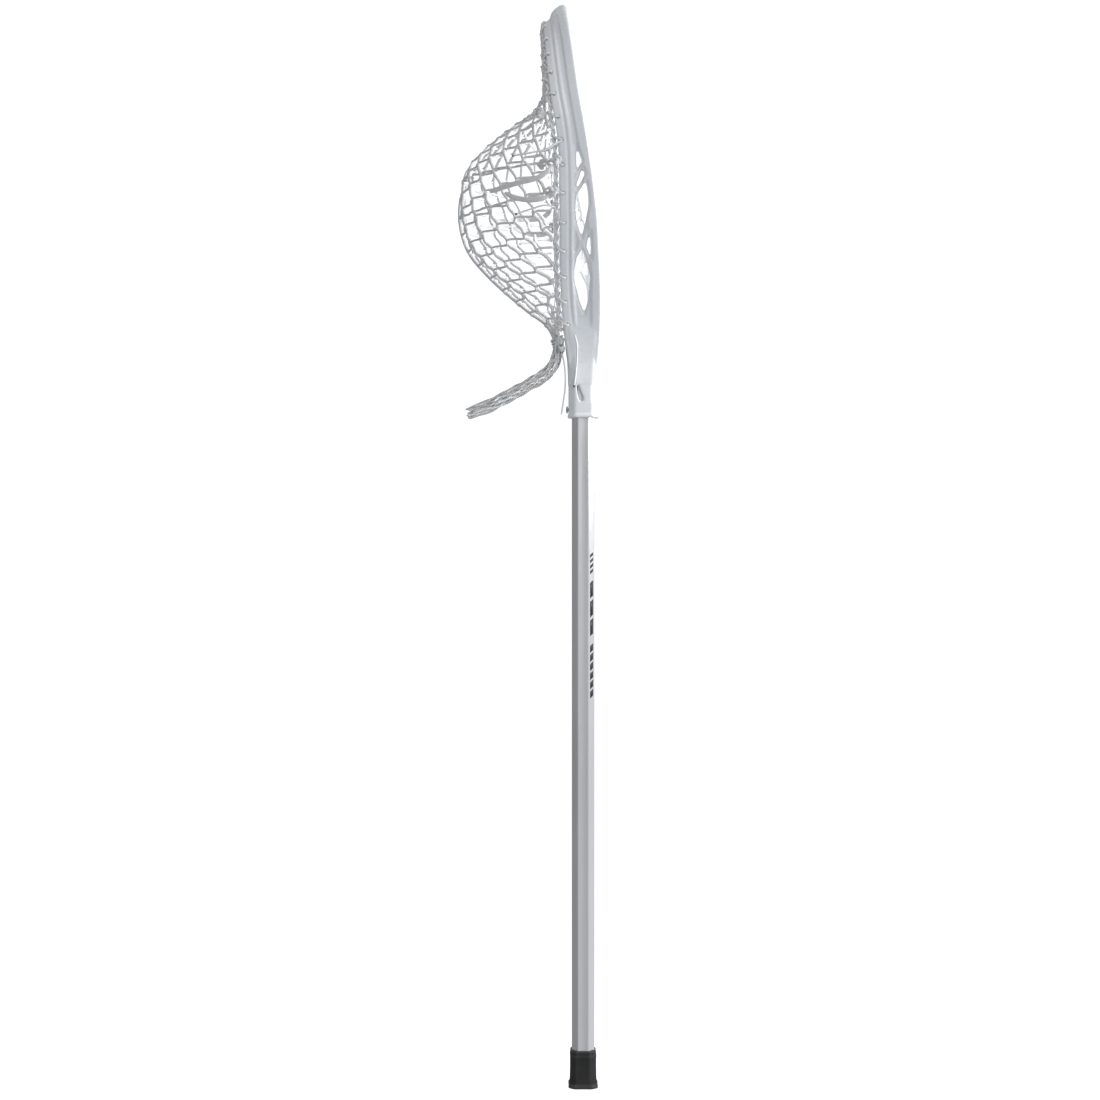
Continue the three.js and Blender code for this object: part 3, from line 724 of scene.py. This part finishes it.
def wall_rings(count):
    u = np.linspace(0, 1, count)
    front, back, along, inward = rail_frame(u)
    depth = np.linalg.norm(back - front, axis=1)
    recess = RAIL["recess"] * fade(np.abs(u - 0.5), *SCOOP_FADE)
    web = depth - RAIL["back_depth"]
    edge, thick, wall, lip = RAIL["edge"], RAIL["thick"], RAIL["wall"], RAIL["front_depth"]
    zero = np.zeros(count)
    crown = SCOOP_CROWN * (1 - fade(np.abs(u - 0.5), 0.02, 0.15))
    groove = RAIL_GROOVE * fade(np.abs(u - 0.5), *SCOOP_FADE)
    corners = [
        (zero, edge), (edge, -0.3 * crown), (0.35 * lip, -0.75 * crown), (lip, -crown),
        (lip + 1.2, recess - crown), (0.5 * depth, np.where(crown > 0.05, recess - 0.85 * crown, recess)),
        (web, recess - 0.55 * crown), (web + 1.2, -0.5 * crown), (web + 3.4, zero),
        (web + 4.4, groove), (web + 5.6, groove), (web + 6.6, zero),
        (depth - edge, zero), (depth, edge), (depth, thick - edge), (depth - edge, thick),
        (web + 1.2, thick), (web, recess + wall), (lip + 1.2, recess + wall),
        (lip, thick), (edge, thick), (zero, thick - edge),
    ]
    column = np.ones((count, 1))
    lines = [
        front + along * (column * np.reshape(d, (-1, 1))) + inward * (column * np.reshape(n, (-1, 1)))
        for d, n in corners
    ]
    return list(np.stack(lines, axis=1))


def throat_rings():
    """The throat's octagons, with smooth steps between them above the collar."""
    table = np.array(THROAT_RINGS, float)
    low, high = table[:6], table[6:]
    fine = spline(high[:, [1, 2, 0]], np.linspace(0, 1, 24))
    rest = spline(np.column_stack([high[:, 3], high[:, 4], high[:, 0]]), np.linspace(0, 1, 24))
    rows = [tuple(r) for r in low] + [(f[2], f[0], f[1], r[0], r[1]) for f, r in zip(fine, rest)]
    return [ring_at(arc_corners(octagon(b, f, y, cut), 1.2, steps=2), z) for z, b, f, y, cut in rows]


def cylinder(radius, start, end, sides):
    """Points and faces of a round bar between two points."""
    axis = unit(np.asarray(end, float) - np.asarray(start, float))
    side = unit(np.cross(axis, (0.31, 0.52, 0.79)))
    up = np.cross(axis, side)
    angle = turn_of(sides)
    circle = radius * (np.cos(angle)[:, None] * side + np.sin(angle)[:, None] * up)
    return loft([np.asarray(start, float) + circle, np.asarray(end, float) + circle])


def hole_frames(u):
    """Middles of the string holes, with the directions back along the wall and into the head."""
    _, back, along, inward = rail_frame(u)
    return back - along * HOLES["inset"] + inward * RAIL["thick"] / 2, along, inward


def slope_windows(obj):
    """Slopes the wall's outer face in toward each window, so that struts stand up between them."""
    vertices = obj.data.vertices
    spots, normals = (np.empty(len(vertices) * 3, np.float32) for _ in range(2))
    vertices.foreach_get("co", spots)
    vertices.foreach_get("normal", normals)
    spots, normals = spots.reshape(-1, 3), normals.reshape(-1, 3)
    place = spots[:, [0, 2]] / MM
    near = np.full(len(place), np.inf)
    for outline in WINDOWS:
        for start, end in zip(np.array(outline, float), np.roll(np.array(outline, float), -1, axis=0)):
            edge = end - start
            t = np.clip((place - start) @ edge / (edge @ edge), 0, 1)
            near = np.minimum(near, np.linalg.norm(place - start - t[:, None] * edge, axis=1))
    side = np.sign(spots[:, 1])
    facing = fade(normals[:, 1] * side, 0.3, 0.7) * (np.abs(spots[:, 1]) > WINDOW_INNER_Y * MM)
    spots[:, 1] -= side * facing * WINDOW_SLOPE["depth"] * (1 - fade(near, 0, WINDOW_SLOPE["width"])) * MM
    vertices.foreach_set("co", spots.ravel())
    obj.data.update()


def make_head():
    body = mesh_object("head", *loft(wall_rings(241)), PLASTIC)
    throat = mesh_object("throat", *loft(throat_rings()))
    reach, low = MOUTH["reach"], MOUTH["z"]
    mouth = mesh_object("mouth", *cylinder(MOUTH["radius"], (-reach, 0, low), (reach, 0, low), 128))
    boolean(throat, mouth)
    boolean(body, throat, "UNION")
    cuts = Build()
    for outline in WINDOWS:
        for y0, y1 in ((-HEAD_HALF_WIDTH, -WINDOW_INNER_Y), (WINDOW_INNER_Y, HEAD_HALF_WIDTH)):
            cuts.add(*prism_along_y(rounded(outline, 0.05), y0, y1))
    socket = np.array(shaft_octagon(GAP))
    cuts.add(*loft([ring_at(socket, COLLAR_BOTTOM - CUT_PAST), ring_at(socket, SHAFT_TOP + SOCKET_ROOM)]))
    middles, _, inward = hole_frames(np.concatenate([SIDE_HOLES, 1 - SIDE_HOLES, SCOOP_HOLES]))
    for middle, into in zip(middles, inward):
        through = into * RAIL["thick"]
        cuts.add(*cylinder(HOLES["radius"], middle - through, middle + through, HOLES["sides"]))
    boolean(body, cuts.made("cuts"))
    teardrop = prism_along_y(rounded(TEARDROP, 0.2), -TEARDROP_REACH, TEARDROP_REACH)
    boolean(body, mesh_object("teardrop_cut", *teardrop))
    bore = cylinder(SCREW["hole_radius"], (-30, 0, SCREW["z"]), (-SHAFT["half_x"] + 2, 0, SCREW["z"]), 32)
    boolean(body, mesh_object("bore", *bore))
    remesh = body.modifiers.new("remesh", "REMESH")
    remesh.mode, remesh.voxel_size, remesh.use_smooth_shade = "VOXEL", VOXEL * MM, True
    smooth = body.modifiers.new("smooth", "SMOOTH")
    smooth.factor, smooth.iterations = 0.5, 3
    applied(body)
    slope_windows(body)
    only_material(body, PLASTIC)
    body.name = "moulded_head"
    return finish_piece(body, ["head_frame"])


make_head()


# ---- Shaft, cap and screw ----
def shaft_outline(margin, hollow, corner):
    return arc_corners(shaft_octagon(margin), corner, hollow)


def make_shaft():
    low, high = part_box("shaft")
    bottom, top = low.z / MM, high.z / MM
    outer = shaft_outline(0, SHAFT["hollow"], SHAFT["corner"])
    inner = shaft_outline(-SHAFT["wall"], SHAFT["hollow"], SHAFT["corner"])
    edge = shaft_outline(-0.3, SHAFT["hollow"], SHAFT["corner"])
    heights = np.linspace(bottom + 0.3, top - 0.3, 40)
    rings = [ring_at(inner, bottom), ring_at(edge, bottom)]
    rings += [ring_at(outer, z) for z in heights]
    rings += [ring_at(edge, top), ring_at(inner, top)]
    rings += [ring_at(inner, z) for z in (top - 5, bottom + 5)] + rings[:1]
    obj = mesh_object("shaft_tube", *loft(rings, closed_ends=False), ALUMINIUM)
    weld = obj.modifiers.new("weld", "WELD")
    weld.merge_threshold = 1e-6
    applied(obj)
    shade_by_angle(obj)
    return finish_piece(obj, ["shaft"])


def make_marks():
    """Plain slanted bars printed on the shaft's right front bevel, in place of any lettering."""
    middle = np.array([SHAFT["half_x"] - SHAFT["bevel"] / 2, -SHAFT["half_y"] + SHAFT["bevel"] / 2])
    out, over = np.array([1, -1]) / math.sqrt(2), np.array([1, 1]) / math.sqrt(2)
    build = Build()
    for start, count, long, step in MARKS:
        for i in range(count):
            low = start + i * step
            corners = ((-1, low), (1, low + MARK_SLANT), (1, low + MARK_SLANT + long), (-1, low + long))
            build.add(*loft([
                np.array([(*(middle + out * depth + over * w * MARK_HALF), z) for w, z in corners])
                for depth in (-MARK_SUNK, MARK_PROUD)
            ]))
    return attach(build.made("shaft_marks", INK), "stick")


def shade_by_angle(obj, degrees=32):
    """Flat shading across sharp edges only."""
    mesh = obj.data
    limit = math.cos(math.radians(degrees))
    normals = {}
    for polygon in mesh.polygons:
        for key in polygon.edge_keys:
            normals.setdefault(key, []).append(polygon.normal.copy())
    for edge in mesh.edges:
        pair = normals.get(edge.key, [])
        edge.use_edge_sharp = len(pair) == 2 and pair[0].dot(pair[1]) < limit


make_shaft()
make_marks()


def make_cap():
    """The butt cap: a cup with a flared foot, a soft shoulder and a rolled lip."""
    profile = [  # margin round the shaft, z
        (2.4, 0), (3.3, 0.25), (3.6, 0.9), (3.6, 3.6), (3.35, 4.4), (2.7, 5.1), (2.35, 5.6), (2.2, 7),
        (2.0, 12), (1.85, 20), (1.8, 28), (1.85, 31), (2.0, 32), (2.05, 33.2), (2.0, 34.4), (1.75, 35.2),
        (1.6, 36), (1.55, 37.8), (1.3, 38.7), (0.9, 39), (0.55, 38.8), (GAP, 38.2),
    ]
    rings = [ring_at(shaft_outline(margin, 0.3, 1.3), z) for margin, z in profile]
    rings += [ring_at(shaft_outline(GAP, 0.3, 1.3), z) for z in (20, 6.2)]
    obj = mesh_object("butt_cap", *loft(rings), RUBBER)
    shade_by_angle(obj, 40)
    return finish_piece(obj, ["end_cap"], "cap")


def screw_ring(x, y, z):
    """A ring across the screw, x millimetres past the seat of its head."""
    return np.column_stack([np.full(len(y), SCREW["seat"] + x), y, SCREW["z"] + z])


def make_screw():
    """A pan head screw with a cross recess and a helical thread."""
    radius, height = SCREW["head_radius"], SCREW["head_height"]
    shank, length = SCREW["shank_radius"], SCREW["length"]
    profile = [  # radius, height over the seat
        (0.02, height), (0.9, height - 0.02), (1.8, height - 0.12), (2.7, height - 0.38),
        (3.4, height - 0.8), (3.85, height - 1.35), (radius, height - 1.8), (radius - 0.1, 0.0),
        (shank, 0.0),
    ]
    angle = turn_of(48)
    rings = [screw_ring(-out, r * np.cos(angle), r * np.sin(angle)) for r, out in profile]
    pitch, depth, steps = 0.8, 0.45, 160
    for step in range(steps + 1):
        x = step / steps * length
        phase = (x / pitch - angle / (2 * math.pi)) % 1.0
        tip = min(1.0, (length - x) / 2.0) * 0.85 + 0.15
        r = (shank - depth * np.abs(2 * phase - 1) * min(1.0, x / 1.5)) * tip
        rings.append(screw_ring(x, r * np.cos(angle), r * np.sin(angle)))
    obj = mesh_object("pan_head_screw", *loft(rings), STEEL)
    for dy, dz in ((0.55, 2.4), (2.4, 0.55)):
        y, z = np.array([-dy, dy, dy, -dy]), np.array([-dz, -dz, dz, dz])
        rings = [screw_ring(-height - 0.5, y, z), screw_ring(-height + 1.3, y * 0.55, z * 0.55)]
        boolean(obj, mesh_object("recess", *loft(rings)))
    only_material(obj, STEEL)
    shade_by_angle(obj, 35)
    return finish_piece(obj, ["head_screw"], "screw")


make_cap()
make_screw()


# ---- Ball stop ----
def make_ball_stop():
    """A crowned foam strip stuck on the bottom of the mouth."""
    half, thick = BALL_STOP["half_angle"], BALL_STOP["thick"] / 2
    back, front = BALL_STOP["back"], BALL_STOP["front"]
    middle = MOUTH["radius"] - BALL_STOP["room"] - thick
    angle = turn_of(28)
    # A section between a round and a box.
    wide, high = (np.sign(c) * np.abs(c) ** 0.35 for c in (np.cos(angle), np.sin(angle)))
    rings = []
    for turn in np.linspace(-half, half, 49):
        end = math.sqrt(max(0.0, 1 - (abs(turn) / half) ** 14))
        x = (back + front) / 2 + (front - back) / 2 * wide * (0.9 + 0.1 * end)
        r = middle + thick * high * (0.3 + 0.7 * end)
        rings.append(np.column_stack([x, r * math.sin(turn), MOUTH["z"] - r * math.cos(turn)]))
    obj = mesh_object("foam_ball_stop", *loft(rings), FOAM)
    finish_piece(obj, ["ball_stop"])
    return obj


make_ball_stop()


# ---- Pocket surface ----
def back_rail_at(z):
    """The back rail's points at some heights, on the -Y side."""
    u = np.linspace(0, 0.5, 2001)
    line = spline(BACK, u)
    order = np.interp(np.atleast_1d(z), line[:, 2], u)
    return spline(BACK, order)


def behind_rail(z):
    return POCKET["behind_top"] + (POCKET["behind_rail"] - POCKET["behind_top"]) * fade(z, *TOP_FADE)


EDGE_HEIGHTS = [row[2] for row in POCKET_ROWS]
POCKET_EDGE = [
    (rail[0] - behind_rail(z), rail[1] + POCKET["inside_rail"], z)
    for rail, z in zip(back_rail_at(EDGE_HEIGHTS), EDGE_HEIGHTS)
]
POCKET_MIDDLE = [(x, 0, z) for x, z, _ in POCKET_ROWS]


def pocket_point(row, across):
    """Points of the pocket: row from 0 at the scoop to 1 at the throat, across from -1 to 1 at +Y."""
    row, across = np.broadcast_arrays(np.asarray(row, float), np.asarray(across, float))
    shape = row.shape
    row, across = row.ravel(), across.ravel()
    middle, edge = spline(POCKET_MIDDLE, row), spline(POCKET_EDGE, row)
    bulge = 1 - np.abs(across) ** POCKET["roundness"]
    x = edge[:, 0] + (middle[:, 0] - edge[:, 0]) * bulge
    z = edge[:, 2] + (middle[:, 2] - edge[:, 2]) * (1 - across**2)
    return np.column_stack([x, -edge[:, 1] * across, z]).reshape(*shape, 3)


class Cloth:
    """The pocket's surface measured out evenly: down from 0 to 1 and across from -1 to 1 by length."""

    def __init__(self, rows=161, columns=161):
        over, fine = np.linspace(-1, 1, columns), np.linspace(-1, 1, 401)
        self.grid = np.zeros((rows, columns, 3))
        for i, row in enumerate(np.linspace(0, 1, rows)):
            run = run_of(pocket_point(row, fine))
            self.grid[i] = pocket_point(row, np.interp((over + 1) / 2 * run[-1], run, fine))
        for j in range(columns):
            self.grid[:, j] = spaced(self.grid[:, j].copy(), rows)
        down_step, over_step = np.gradient(self.grid, axis=(0, 1))
        self.out = unit(np.cross(over_step, down_step))

    def read(self, table, down, across):
        rows, columns = table.shape[:2]
        r = np.clip(np.asarray(down, float), 0, 1) * (rows - 1)
        c = (np.clip(np.asarray(across, float), -1, 1) + 1) / 2 * (columns - 1)
        i, j = np.minimum(r.astype(int), rows - 2), np.minimum(c.astype(int), columns - 2)
        fr, fc = (r - i)[..., None], (c - j)[..., None]
        top = table[i, j] * (1 - fc) + table[i, j + 1] * fc
        low = table[i + 1, j] * (1 - fc) + table[i + 1, j + 1] * fc
        return top * (1 - fr) + low * fr

    def point(self, down, across, lift=0.0):
        lift = np.asarray(lift, float)[..., None]
        return self.read(self.grid, down, across) + unit(self.read(self.out, down, across)) * lift


CLOTH = Cloth()


# ---- Net ----
# From the pocket's middle to its edge, down its middle line, and how far the thick cords move out.
HALF_ARC = np.linalg.norm(np.diff(CLOTH.grid, axis=1), axis=2).sum(1) / 2
DOWN_LENGTH = np.linalg.norm(np.diff(CLOTH.grid[:, CLOTH.grid.shape[1] // 2], axis=0), axis=1).sum()
DOWN = np.linspace(0, 1, len(HALF_ARC))
SPREAD = np.concatenate([[0], np.cumsum(
    NET["spread"] * DOWN_LENGTH / (len(DOWN) - 1) * fade(DOWN, -0.1, NET["spread_start"])
    * (1 - fade(DOWN, *NET["spread_end"]))
)[:-1]])


def spread(down):
    """How far the thick cords have moved out from the middle."""
    return np.interp(down, DOWN, SPREAD)


def share_across(distance, down):
    """A distance from the middle as a share of the half width. Near the throat the cords draw in."""
    return distance / np.interp(np.minimum(down, NET["squeeze"]), DOWN, HALF_ARC)


def net_column(number):
    """A thick cord on one half of the net: its places down and across."""
    down = np.linspace(0, 1, 700)
    distance = NET["pitch"] * (number + 0.5) + spread(down)
    row = (down + NET["sag"] * 0.5) * NET["rows"] + number * 0.5
    shift = NET["zigzag"] * np.sin(2 * math.pi * row)
    distance += shift * fade(distance, 0, 15) * (0.3 + 0.7 * fade(down, 0.4, 0.6))
    share = share_across(distance, down)
    keep = (distance >= 0) & (share <= NET["reach"])
    return down[keep], share[keep], distance[keep]


def cord_beside(distance, down):
    """Which thick cord is nearest, counted from the middle, with the exact place between them."""
    column = (distance - spread(down)) / NET["pitch"] - 0.5
    return column, (column - np.round(column)) * NET["pitch"]


def net_row(number):
    """A thin cord on one half of the net, stepping down beside each thick cord on its way in."""
    start = number / NET["rows"]
    sag = NET["sag"] * (1 - fade(start, 0.4, 1.15))
    distance = np.linspace(0, HALF_ARC.max() * 1.05, 520)
    down = np.full(len(distance), start)
    short, long = NET["joint"]
    joint = (short + (long - short) * fade(start, 0.35, 0.75)) / DOWN_LENGTH
    for _ in range(60):
        column, near = cord_beside(distance, down)
        stairs = joint * (column - np.round(column) - 0.5 * np.tanh(near / 2.6))
        target = start + stairs - sag * share_across(distance, down)
        down = 0.6 * down + 0.4 * target
    share = share_across(distance, down)
    keep = (down >= 0) & (down <= 1) & (share <= NET["reach"])
    near = cord_beside(distance, down)[1]
    return down[keep], share[keep], np.exp(-((near[keep] / 3.2) ** 2))


def make_net():
    build = Build()

    def cord(down, share, lift, radius, whole):
        """Both halves of a cord: one line if it passes over the middle, and two if not."""
        halves = [CLOTH.point(down, side * share, lift) for side in (-1, 1)]
        lines = [np.vstack([halves[0][::-1], halves[1][1:]])] if whole else halves
        for line in lines:
            if length_of(line) > 6:
                build.add(*tube(even(line, 1.1), radius, 8, 0.88, ply=0.13, pitch=4.2))

    first = -int(SPREAD[-1] / NET["pitch"]) - 1
    for number in range(first, 7):
        down, share, distance = net_column(number)
        if len(down) > 8:
            cord(down, share, np.full(len(down), -0.7), NET_RADIUS["thick"], distance[0] < 1.5)
    for number in range(0, NET["rows"] + 4):
        down, share, near = net_row(number)
        if len(down) > 8:
            lift = -0.4 + 1.5 * near * fade(share, 0.02, 0.12)
            cord(down, share, lift, NET_RADIUS["thin"], share[0] < 0.02)
    obj = build.made("pocket_net", NET_NYLON)
    finish_piece(obj, ["pocket_mesh"])
    return obj


make_net()


# ---- Gathered tail of the net ----
def make_tail():
    """The spare net below the throat: its cords gathered into pleats that hang together, cut unevenly."""
    rng = np.random.default_rng(SEED)
    build = Build()
    steps = 161
    centre = spline([(x, 0, z) for x, z in TAIL_PATH], np.linspace(0, 1, steps))
    tangent = unit(np.gradient(centre, axis=0))
    normal = np.column_stack([tangent[:, 2], np.zeros(steps), -tangent[:, 0]])
    share = np.linspace(0, 1, steps)
    width = np.interp(share, np.linspace(0, 1, 8), TAIL_HALF_WIDTH) - 1.2
    thick = np.interp(share, np.linspace(0, 1, 8), TAIL_HALF_THICK) - 1.2
    starts = CLOTH.point(np.full(TAIL_STRANDS, 1.0), np.linspace(-0.95, 0.95, TAIL_STRANDS))
    layers, layer_gap, pleats, join_steps = 5, 0.42, 2.5, 22
    for number, start in enumerate(starts):
        w = (number + 0.5) / TAIL_STRANDS * 2 - 1
        layer = number % layers
        lateral = (w * pleats + pleats) % 2.0 - 1
        level = (layer - layers // 2) * layer_gap
        sway = 0.16 * np.sin(share * 30 + number * 2.4) + 0.05 * np.sin(share * 67 + number)
        y = width * np.clip(lateral * 0.9 + sway, -1, 1)
        room = np.sqrt(np.clip(1.1 - (y / width) ** 2, 0.06, 1))
        height = thick * (level + 0.16 * np.sin(share * 26 + number * 1.7)) * room
        end = 0.9 + 0.1 * rng.random() if layer else 0.99
        line = (centre + normal * height[:, None])[: int(steps * end)]
        line[:, 1] += y[: len(line)]
        line[:, 2] -= fade(share[: len(line)], 0.55, 1.0) * (layers - 1 - layer) * 0.9
        join = fade(np.arange(len(line)), 0, join_steps)[:, None]
        line = start * (1 - join) + line * join
        build.add(*tube(even(line, 1.2), TAIL_STRAND_RADIUS, 7, 0.9, ply=0.14, pitch=3.6, taper=1.2))
    obj = build.made("gathered_net_tail", NET_NYLON)
    finish_piece(obj, ["mesh_tail"])
    return obj


make_tail()


# ---- Strings and laces ----
KNOT_TILT = 1.1


def knot(centre, size, radius, turn=0.0, flat=1.0):
    """An overhand knot pulled tight, as one closed loop of cord."""
    t = np.linspace(0, 2 * math.pi, 73)[:-1]
    loop = np.column_stack([
        np.sin(t) + 2 * np.sin(2 * t), np.cos(t) - 2 * np.cos(2 * t), -1.35 * np.sin(3 * t),
    ]) * size / 3
    cos, sin = math.cos(turn), math.sin(turn)
    spin = np.array([[cos, 0, sin], [0, 1, 0], [-sin, 0, cos]])
    cos, sin = math.cos(KNOT_TILT), math.sin(KNOT_TILT)
    tip = np.array([[1, 0, 0], [0, cos, -sin], [0, sin, cos]])
    path = loop @ spin.T @ tip.T + np.asarray(centre, float)
    sides = 10
    tangent = unit(np.roll(path, -1, axis=0) - np.roll(path, 1, axis=0))
    side = unit(np.cross(tangent, (0.2, 0.3, 0.93)))
    up = np.cross(tangent, side)
    angle = turn_of(sides)
    wide, high = np.cos(angle)[None, :, None], flat * np.sin(angle)[None, :, None]
    ring = radius * (wide * side[:, None] + high * up[:, None])
    run = np.arange(len(path)) * size * 0.28
    uv = np.stack(np.broadcast_arrays(run[:, None], angle[None, :] / (2 * math.pi)), axis=-1)
    return (path[:, None] + ring).reshape(-1, 3), skin(len(path), sides, looped=True), uv.reshape(-1, 2)


def lacing_path(u_places):
    """Stringing cord that goes in and out of the rail's holes and round the edge of the net."""
    middles, along, inward = hole_frames(u_places)
    half = RAIL["thick"] / 2 + STRING_RADIUS
    back = HOLES["inset"] + STRING_RADIUS + 0.3
    points = []
    for i, (middle, a, n) in enumerate(zip(middles, along, inward)):
        down = unit(middles[min(i + 1, len(middles) - 1)] - middles[max(i - 1, 0)])
        loop = middle + a * (back + 4.5) + n * (half - 1.5)
        points += [
            middle + n * (half + 0.3) - down * 0.6,
            middle,
            middle - n * (half + 0.2) + down * 0.4,
            middle - n * half + a * (back * 0.55) + down * 1.6,
            middle - n * (half * 0.5) + a * back + down * 2.8,
            loop + down * 4.2,
            loop + n * 1.5 + down * 6.0,
        ]
        if i < len(middles) - 1:
            nxt = middles[i + 1] + along[i + 1] * (back * 0.6) + inward[i + 1] * (half + 0.4) - down * 2.0
            points.append(nxt)
    return smooth_path(points, 0.9)


def edge_cord(u0, u1, phase):
    """A cord that runs along the net's edge behind the rail, winding round its neighbour."""
    count, behind, wind, twist = 260, 3.6, 1.25, 0.42
    _, back, along, inward = rail_frame(np.linspace(u0, u1, count))
    turn = np.arange(count) * twist + phase
    out = behind * (0.35 + 0.65 * fade(back[:, 2], *TOP_FADE)) + wind * np.cos(turn)
    deep = RAIL["thick"] * 0.62 + wind * np.sin(turn)
    return even(back + along * out[:, None] + inward * deep[:, None], 0.9)


def string_tube(path):
    return tube(path, STRING_RADIUS, ply=0.12, pitch=4.0, taper=1.5)


def make_stringing(name, node, places, u0, u1):
    build = Build()
    build.add(*string_tube(lacing_path(places)))
    for phase in (0.0, math.pi):
        build.add(*string_tube(edge_cord(u0, u1, phase)))
    middles, along, inward = hole_frames(places)
    for i, (middle, a, n) in enumerate(zip(middles, along, inward)):
        build.add(*knot(middle + a * (HOLES["inset"] + 4.4) + n * 1.4, 1.9, 0.95, turn=i * 0.9))
    obj = build.made(name, STRING_NYLON)
    return finish_piece(obj, [node])


make_stringing("sidewall_lacing_right", "sidewall_string_right", SIDE_HOLES, 0.045, 0.395)
make_stringing("sidewall_lacing_left", "sidewall_string_left", 1 - SIDE_HOLES, 0.955, 0.605)
make_stringing("scoop_lacing", "top_string", SCOOP_HOLES, 0.41, 0.59)


def lace_line(z, behind, out):
    """A shooting lace: knot, round the rail, then in and out of the net to the other side."""
    rail = back_rail_at(z)[0]
    row = np.interp(z, [p[2] for p in POCKET_EDGE][::-1], np.linspace(1, 0, len(POCKET_EDGE)))
    start = [(rail[0] - behind, rail[1] - out, z)]
    start.append((rail[0] - max(behind - LACE_BEND[0], LACE_PASS), rail[1] - LACE_BEND[1], z))
    across = np.linspace(-LACE_REACH, LACE_REACH, LACE_STITCHES)
    line = pocket_point(row, across)
    step = 1e-3
    down = pocket_point(row + step, across) - pocket_point(row - step, across)
    over = pocket_point(row, across + step) - pocket_point(row, across - step)
    outward = unit(np.cross(over, down))
    weave = np.where(np.arange(LACE_STITCHES) % 2 == 0, -3.4, 0.6)
    body = line + outward * weave[:, None]
    points = start + [tuple(p) for p in body] + mirrored(start[::-1])
    hints = np.vstack([np.tile(unit(down[0]), (2, 1)), unit(down), np.tile(unit(down[-1]), (2, 1))])
    return points, hints


def make_lace(number, z, behind, out):
    points, hints = lace_line(z, behind, out)
    path = smooth_path(points, 0.9)
    spots = np.linspace(0, 1, len(hints))
    share = np.linspace(0, 1, len(path))
    turn = np.stack([np.interp(share, spots, hints[:, k]) for k in range(3)], axis=1)
    build = Build()
    build.add(*tube(path, LACE_PULLED / 2, 14, 0.62, hints=turn))
    for i, end in enumerate((points[0], points[-1])):
        build.add(*knot(end, 4.3, 2.3, turn=0.6 + i + number, flat=0.8))
        build.add(*knot(np.asarray(end) + (0.6, 0, -1.2), 3.4, 2.0, turn=2.1 + i - number, flat=0.8))
    obj = build.made(f"shooting_lace_{number}", LACE_WEAVE)
    return finish_piece(obj, [f"shooting_string_{number}"])


for lace_number, lace in enumerate(LACES, 1):
    make_lace(lace_number, *lace)


def make_throat_string():
    """Cord wound round the gathered net and tied off at both sides of the throat."""
    build = Build()
    for lift in (0.0, 2.9, 5.8):
        x = -0.36 * lift
        points = [(-20.6, -16, 770 + lift), (-24.5, -15, 768 + lift), (-29 + x, -9.5, 766 + lift)]
        points += [(-30.6 + x, 0, 765 + lift)] + mirrored(points[::-1])
        build.add(*string_tube(smooth_path(points, 0.9)))
    for side in (-1, 1):
        build.add(*knot((-22.6, side * 17.2, 770), 3.0, 1.15, turn=side))
        build.add(*knot((-21.8, side * 16.4, 762), 2.4, 1.1, turn=1 + side))
    obj = build.made("throat_lashing", STRING_NYLON)
    return finish_piece(obj, ["throat_string"])


make_throat_string()
